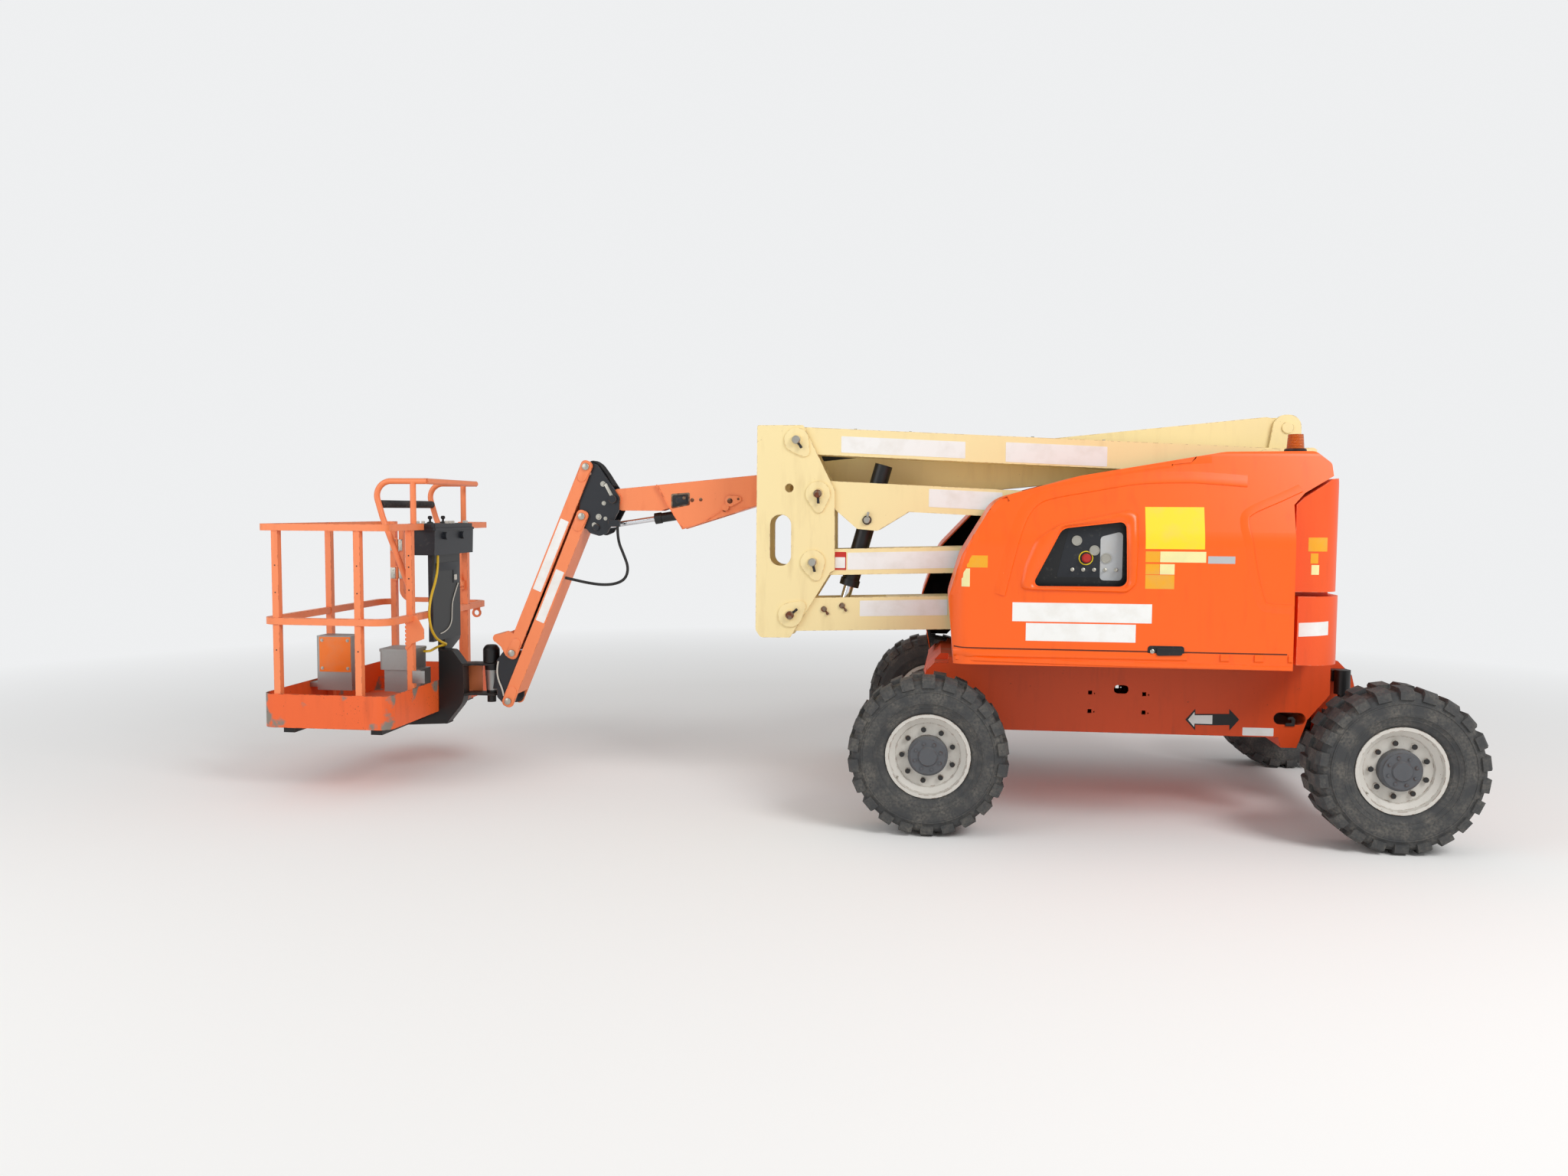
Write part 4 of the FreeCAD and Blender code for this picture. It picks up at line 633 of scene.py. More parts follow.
def slab(name: str, points: Sequence[tuple[float, ...]], low: float, high: float, axis: Axis,
         bevel: float = 0.0) -> Mesh:
    """Extrude an outline into a plate whose rims are bevelled.

    Args:
        name: the mesh's name.
        points: the outline, whose points may carry a corner radius.
        low: where the plate begins along the axis.
        high: where it ends.
        axis: the axis it is extruded along.
        bevel: width of the rounded rim.

    Returns:
        The plate's mesh.
    """
    build = bmesh.new()
    flat = rounded(points)
    base = [build.verts.new(lifted(a, b, low, axis)) for a, b in flat]
    face = build.faces.new(base)
    grown = bmesh.ops.extrude_face_region(build, geom=[face])
    top = [item for item in grown["geom"] if isinstance(item, bmesh.types.BMVert)]
    shift = Vector(lifted(0.0, 0.0, high - low, axis))
    bmesh.ops.translate(build, verts=top, vec=shift)
    bmesh.ops.recalc_face_normals(build, faces=build.faces)
    if bevel > 0:
        rims = [e for e in build.edges if len({round(v.co[axis.value], 6) for v in e.verts}) == 1]
        bmesh.ops.bevel(build, geom=rims, offset=bevel, segments=2, profile=0.6,
                        affect="EDGES", clamp_overlap=True)
    return to_mesh(build, name)


def lathe(name: str, profile: Sequence[Flat], centre: Point, axis: Axis,
          steps: int = 32) -> Mesh:
    """Turn a profile of (distance along the axis, radius) about an axis through a centre.

    Args:
        name: the mesh's name.
        profile: the profile from one end to the other.
        centre: the point that the axis passes and distances start from.
        axis: the axis's direction.
        steps: how many sides the piece has.

    Returns:
        The mesh.
    """
    build = bmesh.new()
    rings = []
    for along, radius in profile:
        ring = []
        for step in range(steps):
            angle = 2 * math.pi * step / steps
            a, b = radius * math.cos(angle), radius * math.sin(angle)
            ring.append(build.verts.new(Vector(centre) + Vector(lifted(a, b, along, axis))))
        rings.append(ring)
    for first, second in zip(rings, rings[1:]):
        for step in range(steps):
            follow = (step + 1) % steps
            build.faces.new((first[step], first[follow], second[follow], second[step]))
    build.faces.new(rings[0])
    build.faces.new(rings[-1])
    bmesh.ops.remove_doubles(build, verts=build.verts, dist=1e-6)
    return to_mesh(build, name)


def torus(name: str, centre: Point, ring: float, thick: float, axis: Axis,
          steps: int = 72) -> Mesh:
    """A round ring about an axis.

    Args:
        name: the mesh's name.
        centre: the ring's centre.
        ring: the radius of its middle line.
        thick: the radius of its section.
        axis: the axis that it goes about.
        steps: how many parts it has.

    Returns:
        The mesh.
    """
    build = bmesh.new()
    sides = 8
    rows = []
    for step in range(steps):
        angle = 2 * math.pi * step / steps
        row = []
        for side in range(sides):
            turn = 2 * math.pi * side / sides
            radius = ring + thick * math.cos(turn)
            spot = lifted(radius * math.cos(angle), radius * math.sin(angle),
                          thick * math.sin(turn), axis)
            row.append(build.verts.new(Vector(centre) + Vector(spot)))
        rows.append(row)
    for step in range(steps):
        first, second = rows[step], rows[(step + 1) % steps]
        for side in range(sides):
            follow = (side + 1) % sides
            build.faces.new((first[side], first[follow], second[follow], second[side]))
    return to_mesh(build, name)


def joined(name: str, meshes: Iterable[Mesh]) -> Mesh:
    """One mesh from several.

    Args:
        name: the new mesh's name.
        meshes: the meshes, which are removed.

    Returns:
        The mesh.
    """
    build = bmesh.new()
    for mesh in meshes:
        build.from_mesh(mesh)
        bpy.data.meshes.remove(mesh)
    return to_mesh(build, name)


def hose(name: str, points: Sequence[Point], diameter: float, finish: Finish) -> Piece:
    """A hose or cable along a smooth NURBS line through its control points.

    Args:
        name: the piece's name.
        points: the route's control points.
        diameter: the hose's diameter.
        finish: its finish.

    Returns:
        The curve object.
    """
    curve = bpy.data.curves.new(name, "CURVE")
    curve.dimensions = "3D"
    curve.bevel_depth = diameter / 2
    curve.bevel_resolution = 3
    curve.use_fill_caps = True
    curve.resolution_u = 10
    spline = curve.splines.new("NURBS")
    spline.points.add(len(points) - 1)
    for target, point in zip(spline.points, points):
        target.co = (*point, 1.0)
    spline.order_u = 3
    spline.use_endpoint_u = True
    curve.materials.append(finish.material())
    return linked(name, curve)


def unrolled(curve: Piece) -> tuple[Piece, list[Point]]:
    """Turn a hose's curve into a mesh tube and read its centreline.

    Args:
        curve: the hose, which is removed.

    Returns:
        The tube's object, and the points that it follows.
    """
    name, data = curve.name, curve.data
    tube = bpy.data.meshes.new_from_object(curve)
    data.bevel_depth = 0.0
    thread = bpy.data.meshes.new_from_object(curve)
    line = [tuple(vertex.co) for vertex in thread.vertices]
    bpy.data.meshes.remove(thread)
    bpy.data.objects.remove(curve)
    bpy.data.curves.remove(data)
    tube.name = name
    shade(tube)
    return linked(name, tube), line


def smoothed(line: Sequence[Flat], steps: int = 6) -> list[Vector]:
    """A soft cubic curve through the points of a line.

    Args:
        line: the points.
        steps: how many parts lie between two points.

    Returns:
        The curve's points.
    """
    spots = [Vector(point) for point in line]
    spots = [2 * spots[0] - spots[1], *spots, 2 * spots[-1] - spots[-2]]
    result = []
    for a, b, c, d in zip(spots, spots[1:], spots[2:], spots[3:]):
        for step in range(steps):
            t = step / steps
            result.append(0.5 * (2 * b + (c - a) * t + (2 * a - 5 * b + 4 * c - d) * t * t
                                 + (3 * b - a - 3 * c + d) * t**3))
    return result + [spots[-2]]


def reach(outline: Sequence[Flat], centre: Vector, angle: float) -> float:
    """How far an outline is from a point inside it, in a direction.

    Args:
        outline: the closed outline.
        centre: the point.
        angle: the direction, in radians.

    Returns:
        The distance.
    """
    way = Vector((math.cos(angle), math.sin(angle)))
    found = 0.0
    for i, point in enumerate(outline):
        start = Vector(outline[i - 1]) - centre
        side = Vector(point) - centre - start
        turn = way.cross(side)
        if abs(turn) < 1e-12:
            continue
        distance = start.cross(side) / turn
        share = start.cross(way) / turn
        if distance > 0 and -1e-9 <= share <= 1 + 1e-9:
            found = max(found, distance)
    return found


def wrapped(name: str, rows: Sequence[Sequence[Point]], closed: bool) -> Mesh:
    """A closed skin over rows of points that go round a section.

    Args:
        name: the mesh's name.
        rows: the rows, each along the piece.
        closed: whether the piece is a ring.

    Returns:
        The mesh.
    """
    build = bmesh.new()
    grid = [[build.verts.new(point) for point in row] for row in rows]
    count = len(grid[0])
    for first, second in zip(grid, grid[1:] + grid[:1]):
        for i in range(count if closed else count - 1):
            follow = (i + 1) % count
            build.faces.new((first[i], first[follow], second[follow], second[i]))
    if not closed:
        build.faces.new([row[0] for row in grid])
        build.faces.new([row[-1] for row in grid])
    return to_mesh(build, name)


class Skin:
    """The side of a node that looks towards -Y, and pieces that lie on it.

    Attributes:
        outside: a place along Y from which the whole side is in sight.
        face: about where the side lies along Y.
        film: how far a film stands out of it.
        sunk: how far a film's back lies in it.
        turns: how many points a frame has.
    """

    outside = -3.0
    face = -1.08
    film = 0.0008
    sunk = 0.0004
    turns = 120

    def __init__(self, node: Piece, body: str) -> None:
        """Index the node's faces.

        Args:
            node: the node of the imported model.
            body: the body that carries it.
        """
        bpy.context.view_layer.update()
        corners = [node.matrix_world @ vert.co for vert in node.data.vertices]
        faces = [tuple(face.vertices) for face in node.data.polygons]
        self.tree = BVHTree.FromPolygons(corners, faces)
        self.body = body

    def at(self, x: float, z: float, lift: float) -> Point:
        """The skin's point at (x, z), raised by a lift.

        Args:
            x: the place along X.
            z: the height.
            lift: how far the point is raised.

        Returns:
            The point.
        """
        start, ahead = Vector((x, self.outside, z)), Vector((0.0, 1.0, 0.0))
        spot, normal = self.tree.ray_cast(start, ahead)[:2]
        if spot is None:
            spot, normal = self.tree.find_nearest(Vector((x, self.face, z)))[:2]
        if normal.y > 0:
            normal = -normal
        return tuple(spot + normal * lift)

    def place(self, name: str, mesh: Mesh, finish: Finish) -> Piece:
        """Hang a piece on the skin's body."""
        return hang(name, mesh, finish, self.body)

    def sheet(self, corners: Sequence[Flat]) -> Mesh:
        """A thin film that follows the skin between four corners in (x, z).

        Args:
            corners: the corners, from the lower left one round.

        Returns:
            The film's mesh.
        """
        low_left, low_right, high_right, high_left = (Vector(corner) for corner in corners)
        steps = 8
        rows = []
        for lift, order in ((self.film, range(steps + 1)), (-self.sunk, range(steps, -1, -1))):
            for i in order:
                start = low_left.lerp(high_left, i / steps)
                end = low_right.lerp(high_right, i / steps)
                spots = [start.lerp(end, k / steps) for k in range(steps + 1)]
                rows.append([self.at(spot.x, spot.y, lift) for spot in spots])
        return wrapped("film", rows, False)

    def ridge(self, line: Sequence[Flat], profile: Sequence[Flat]) -> Mesh:
        """A raised line: profile is (distance to the line's left, lift).

        Args:
            line: the points that it passes, as (x, z).
            profile: its section.

        Returns:
            The line's mesh.
        """
        spots = smoothed(line)
        rows: list[list[Point]] = [[] for _ in profile]
        for i, spot in enumerate(spots):
            run = (spots[min(i + 1, len(spots) - 1)] - spots[max(i - 1, 0)]).normalized()
            for row, (across, lift) in zip(rows, profile):
                row.append(self.at(spot.x - run.y * across, spot.y + run.x * across, lift))
        return wrapped("ridge", rows, False)

    def frame(self, outer: Sequence[Flat], inner: Sequence[Flat], centre: Vector,
              profile: Sequence[Flat]) -> Mesh:
        """A raised frame between two outlines: profile is (share of the way inwards, lift).

        Args:
            outer: the outer outline, as (x, z).
            inner: the inner outline.
            centre: a point inside both.
            profile: the frame's section.

        Returns:
            The frame's mesh.
        """
        rows: list[list[Point]] = [[] for _ in profile]
        for step in range(self.turns):
            angle = 2 * math.pi * step / self.turns
            far, near = reach(outer, centre, angle), reach(inner, centre, angle)
            for row, (share, lift) in zip(rows, profile):
                distance = far + (near - far) * share
                row.append(self.at(centre.x + distance * math.cos(angle),
                                   centre.y + distance * math.sin(angle), lift))
        return wrapped("frame", rows, True)


class Facing(Enum):
    """Where a screw's head looks, as the turn in radians that brings +Z there."""

    NEAR = (math.pi / 2, 0.0, 0.0)
    RIGHT = (0.0, math.pi / 2, 0.0)
    FAR = (-math.pi / 2, 0.0, 0.0)
    UP = (0.0, 0.0, 0.0)


Screw = tuple[Point, float, Facing]


def screw_group() -> Tree:
    """The node group that sets a hexagon head and its washer on every vertex of a mesh."""
    found = bpy.data.node_groups.get("screws")
    if found is not None:
        return found
    tree = bpy.data.node_groups.new("screws", "GeometryNodeTree")
    for label, kind in (("Spots", "Geometry"), ("Height", "Float"), ("Washer", "Float"),
                        ("Seed", "Int"), ("Finish", "Material")):
        tree.interface.new_socket(label, in_out="INPUT", socket_type="NodeSocket" + kind)
    tree.interface.new_socket("Screws", in_out="OUTPUT", socket_type="NodeSocketGeometry")
    given = add_node(tree, "NodeGroupInput").outputs
    lift = add_node(tree, "ShaderNodeCombineXYZ", feeds={
        "Z": add_node(tree, MATH, TIMES, {0: given["Height"], 1: 0.5})}).outputs["Vector"]
    head = add_node(tree, "GeometryNodeMeshCylinder", feeds={
        "Vertices": 6, "Radius": 1.0, "Depth": given["Height"]}).outputs["Mesh"]
    head = add_node(tree, "GeometryNodeTransform", feeds={
        "Geometry": head, "Translation": lift}).outputs["Geometry"]
    washer = add_node(tree, "GeometryNodeMeshCylinder", feeds={
        "Vertices": 18, "Radius": given["Washer"], "Depth": 0.4}).outputs["Mesh"]
    both = add_node(tree, "GeometryNodeJoinGeometry")
    tree.links.new(head, both.inputs["Geometry"])
    tree.links.new(washer, both.inputs["Geometry"])
    sizes = add_node(tree, "GeometryNodeInputNamedAttribute", {"data_type": "FLOAT"},
                     {"Name": "size"}).outputs["Attribute"]
    turns = add_node(tree, "GeometryNodeInputNamedAttribute", {"data_type": "FLOAT_VECTOR"},
                     {"Name": "turn"}).outputs["Attribute"]
    turned = add_node(tree, "FunctionNodeEulerToRotation", feeds={"Euler": turns})
    spots = add_node(tree, "GeometryNodeMeshToPoints", feeds={"Mesh": given["Spots"]})
    placed = add_node(tree, "GeometryNodeInstanceOnPoints", feeds={
        "Points": spots.outputs["Points"], "Instance": both.outputs["Geometry"],
        "Rotation": turned.outputs["Rotation"], "Scale": sizes}).outputs["Instances"]
    chance = add_node(tree, "FunctionNodeRandomValue", {"data_type": "FLOAT"},
                      {2: 0.0, 3: math.pi / 3, 8: given["Seed"]}).outputs[1]
    spin = add_node(tree, "ShaderNodeCombineXYZ", feeds={"Z": chance}).outputs["Vector"]
    spun = add_node(tree, "GeometryNodeRotateInstances", feeds={
        "Instances": placed, "Rotation": spin, "Local Space": True}).outputs["Instances"]
    real = add_node(tree, "GeometryNodeRealizeInstances", feeds={"Geometry": spun})
    worn = add_node(tree, "GeometryNodeSetMaterial", feeds={
        "Geometry": real.outputs["Geometry"], "Material": given["Finish"]})
    add_node(tree, "NodeGroupOutput", feeds={0: worn.outputs["Geometry"]})
    return tree


def screws(name: str, body: str, finish: Finish, spots: Sequence[Screw], height: float = 0.9,
           washer: float = 1.6, seed: int = 7) -> Piece:
    """Screws on a body, set by the node group and turned into a plain mesh.

    Args:
        name: the piece's name.
        body: the body that carries the screws.
        finish: their finish.
        spots: for each screw its place, the head's radius and where it looks.
        height: the heads' height in radii.
        washer: the washers' radius in radii.
        seed: which random turns the heads take.

    Returns:
        The piece.
    """
    mesh = bpy.data.meshes.new(name)
    mesh.from_pydata([spot[0] for spot in spots], [], [])
    sizes = mesh.attributes.new("size", "FLOAT", "POINT")
    sizes.data.foreach_set("value", [spot[1] for spot in spots])
    turns = mesh.attributes.new("turn", "FLOAT_VECTOR", "POINT")
    turns.data.foreach_set("vector", [part for spot in spots for part in spot[2].value])
    made = linked(name, mesh)
    group = screw_group()
    modifier = made.modifiers.new("screws", "NODES")
    modifier.node_group = group
    values = {"Height": height, "Washer": washer, "Seed": seed, "Finish": finish.material()}
    for item in group.interface.items_tree:
        if item.in_out == "INPUT" and item.name in values:
            modifier[item.identifier] = values[item.name]
    bpy.context.view_layer.update()
    grown = made.evaluated_get(bpy.context.evaluated_depsgraph_get())
    baked = bpy.data.meshes.new_from_object(grown)
    made.modifiers.clear()
    made.data = baked
    shade(baked)
    return settle(made, body)


# A hood's painted-shade sheet: its gap to the shell, its thickness, and how far a face has to look
# inwards.
SHADE_SHEET_GAP, SHADE_SHEET_THICK, SHADE_SHEET_LOOK = 0.001, 0.0006, 0.03


def painted_shade_sheet(name: str, node: Piece, middle: Vector, body: str) -> None:
    """A near-black sheet of painted shade, a millimetre inside a hood's shell, on every face that
    looks to its middle.

    Args:
        name: the piece's name.
        node: the hood.
        middle: a point inside the hood.
        body: the body that carries it.
    """
    build = bmesh.new()
    build.from_mesh(node.data)
    build.transform(node.matrix_world)
    bmesh.ops.remove_doubles(build, verts=build.verts, dist=1e-5)
    outside = [face for face in build.faces
               if (middle - face.calc_center_median()).dot(face.normal) <= SHADE_SHEET_LOOK]
    bmesh.ops.delete(build, geom=outside, context="FACES")
    build.normal_update()
    for vert in build.verts:
        vert.co += vert.normal * SHADE_SHEET_GAP
    bmesh.ops.solidify(build, geom=build.faces[:], thickness=-SHADE_SHEET_THICK)
    hang(name, to_mesh(build, name), PAINTED_HOOD_SHADE, body)


@dataclass
class Assembly:
    """A part of the machine, whose nodes are dressed and which gets pieces of its own.

    Attributes:
        nodes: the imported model's nodes by name.
    """

    nodes: dict[str, Piece]

    def dress(self, finish: Finish, *names: str) -> None:
        """Give nodes a finish.

        Args:
            finish: the finish.
            names: the nodes' names.
        """
        for name in names:
            target = self.nodes[name]
            target.data.materials.clear()
            target.data.materials.append(finish.material())
            LOG.info("%s wears %s", name, finish.name)

    def build(self) -> None:
        """Dress the nodes and add the pieces; each assembly does this its own way."""
        raise NotImplementedError


WHEELS = {
    "drive_near": (-1.17, -1.015), "drive_far": (-1.17, 1.015),
    "steer_near": (1.17, -1.015), "steer_far": (1.17, 1.015),
}


@dataclass
class Wheels(Assembly):
    """The four wheels: lugged tyres on cream rims with planetary hubs.

    Attributes:
        axle_z: height of the axles.
        half_width: half of the tyre's width.
        rib_radii: radii of the moulded rings on the sidewall.
        valve_radius: how far from the axis the valve leaves the rim.
        valve_turn: its direction from the axis, in radians from +X.
        valve_foot: how far out from the wheel's middle it starts.
        screw_count: how many screws the hub's cap has.
        screw_circle: the radius of the circle that they stand on.
        cap_face: how far out from the wheel's middle the cap's face is.
        nut_count: how many wheel nuts a rim has.
        nut_circle: the radius of the circle that they stand on.
        nut_face: how far out the nuts' faces are.
    """

    axle_z: float = 0.42
    half_width: float = 0.155
    rib_radii: tuple[float, ...] = (0.345, 0.285, 0.262)
    valve_radius: float = 0.196
    valve_turn: float = math.atan2(-0.6, -0.8)
    valve_foot: float = 0.085
    screw_count: int = 8
    screw_circle: float = 0.07
    cap_face: float = 0.121
    nut_count: int = 9
    nut_circle: float = 0.136
    nut_face: float = 0.0815

    def build(self) -> None:
        """Dress the wheels and add ribs, caps and valves."""
        for name, (x, y) in WHEELS.items():
            self.dress(TYRE, "tyre_" + name)
            self.dress(RIM_CREAM, "rim_" + name)
            self.dress(HUB_GREY, "hub_" + name)
            self.ribs(name, x, y)
            self.cap(name, x, y)

    def ribs(self, name: str, x: float, y: float) -> None:
        """Moulded rings on the tyre's outer side.

        Args:
            name: the wheel's name.
            x: its place along X.
            y: its middle along Y.
        """
        way = math.copysign(1.0, y)
        rings = []
        for radius in self.rib_radii:
            depth = self.half_width - 0.004 - max(0.0, (0.29 - radius) * 0.47)
            rings.append(torus("rib", (x, y + way * depth, self.axle_z), radius, 0.004, Axis.Y))
        hang("sidewall_ribs_" + name, joined("ribs", rings), TYRE, "wheel_" + name)

    def ring(self, x: float, y: float, count: int, circle: float, start: float, out: float,
             radius: float) -> list[Screw]:
        """Screws that stand in a circle about a wheel's axis.

        Args:
            x: the wheel's place along X.
            y: its middle along Y, which also says where the heads look.
            count: how many screws there are.
            circle: the circle's radius.
            start: direction of the first screw, in radians from +X.
            out: how far from the wheel's middle the screws sit.
            radius: the heads' radius.

        Returns:
            The screws.
        """
        facing = Facing.NEAR if y < 0 else Facing.FAR
        found = []
        for step in range(count):
            angle = 2 * math.pi * step / count + start
            spot = (x + circle * math.cos(angle), y + math.copysign(out, y),
                    self.axle_z + circle * math.sin(angle))
            found.append((spot, radius, facing))
        return found

    def cap(self, name: str, x: float, y: float) -> None:
        """Screws on the hub's cap, the wheel nuts' dark faces, and the tyre's valve.

        Args:
            name: the wheel's name.
            x: its place along X.
            y: its middle along Y.
        """
        body = "wheel_" + name
        way = math.copysign(1.0, y)
        heads = self.ring(x, y, self.screw_count, self.screw_circle, 0.3, self.cap_face, 0.0075)
        screws("hub_screws_" + name, body, HUB_GREY, heads)
        nuts = self.ring(x, y, self.nut_count, self.nut_circle, math.pi / self.nut_count,
                         self.nut_face, 0.0138)
        screws("wheel_nuts_" + name, body, IRON, nuts, 0.35, 1.0)
        spot = (x + self.valve_radius * math.cos(self.valve_turn), y + way * self.valve_foot,
                self.axle_z + self.valve_radius * math.sin(self.valve_turn))
        stem = [(0.0, 0.006), (way * 0.03, 0.004), (way * 0.034, 0.003)]
        hang("valve_" + name, lathe("valve", stem, spot, Axis.Y, 12), ZINC, body)


@dataclass
class Chassis(Assembly):
    """The carrier: frame, axles, steering knuckles and the plates on its side.

    Attributes:
        side_y: the frame's near side.
        arrow_z: height of the travel arrow.
    """

    side_y: float = -0.5
    arrow_z: float = 0.562

    def build(self) -> None:
        """Dress the carrier and add its plates and hook."""
        self.dress(CHASSIS_ORANGE, "chassis_frame")
        self.dress(IRON, "drive_axle", "steer_axle", "steer_knuckle_near", "steer_knuckle_far")
        self.dress(BLACK_PAINT, "lockout_cylinders")
        self.arrow()

    def arrow(self) -> None:
        """A travel arrow in two tones, a bare plate beside it and the tie-down hook."""
        y = self.side_y
        middle = self.arrow_z
        left = [(0.252, -0.018), (0.306, -0.077), (0.306, -0.046), (0.397, -0.046), (0.397, 0.018),
                (0.306, 0.015), (0.304, 0.044)]
        right = [(0.397, -0.046), (0.489, -0.042), (0.490, -0.072), (0.541, -0.010),
                 (0.486, 0.048), (0.487, 0.020), (0.397, 0.018)]
        pale = [(0.266, -0.018), (0.300, -0.058), (0.301, -0.039), (0.397, -0.039), (0.397, 0.011),
                (0.301, 0.008), (0.300, 0.027)]
        for name, outline, low, high, finish in (
            ("arrow_rear_half", right, 0.0015, 0.0, BLACK_PAINT),
            ("arrow_front_rim", left, 0.0015, 0.0, BLACK_PAINT),
            ("arrow_front_half", pale, 0.0022, 0.0015, WHITE_VINYL),
        ):
            flat = [(a, b + middle) for a, b in outline]
            mesh = slab(name, flat, y - low, y - high, Axis.Y)
            hang(name, mesh, finish, "chassis")
        placard("chassis_plate", panel(0.560, 0.725, 0.464, 0.509), y, "chassis", WHITE_VINYL)
        bow = [(0.786, 0.523), (0.834, 0.523), (0.838, 0.562, 0.01), (0.826, 0.574, 0.01),
               (0.800, 0.572, 0.008), (0.796, 0.560), (0.818, 0.560, 0.006), (0.818, 0.540, 0.005),
               (0.786, 0.538)]
        hook = slab("hook", bow, y - 0.008, y + 0.01, Axis.Y, 0.003)
        hang("tie_down_hook", hook, IRON, "chassis")


# How far a bare plate stands out of its face.
PLATE_THICK = 0.0012


def placard(name: str, corners: Sequence[Flat], y: float, body: str, finish: Finish) -> Piece:
    """A bare plate with rounded corners on a face that looks towards -Y.

    Args:
        name: the piece's name.
        corners: its corners as (x, z).
        y: the face it lies on.
        body: the body it rides on.
        finish: its finish.

    Returns:
        The plate.
    """
    outline = [(x, z, 0.004) for x, z in corners]
    mesh = slab(name, outline, y - PLATE_THICK, y - 0.0001, Axis.Y)
    return hang(name, mesh, finish, body)


def panel(x0: float, x1: float, z0: float, z1: float, tilt: float = 0.0) -> list[Flat]:
    """Corners of a rectangle whose long side rises by tilt radians towards +X.

    Args:
        x0: its left end.
        x1: its right end.
        z0: its foot at the left end.
        z1: its top at the left end.
        tilt: the rise, in radians.

    Returns:
        The corners as (x, z).
    """
    rise = math.tan(tilt) * (x1 - x0)
    return [(x0, z0), (x1, z0 + rise), (x1, z1 + rise), (x0, z1)]


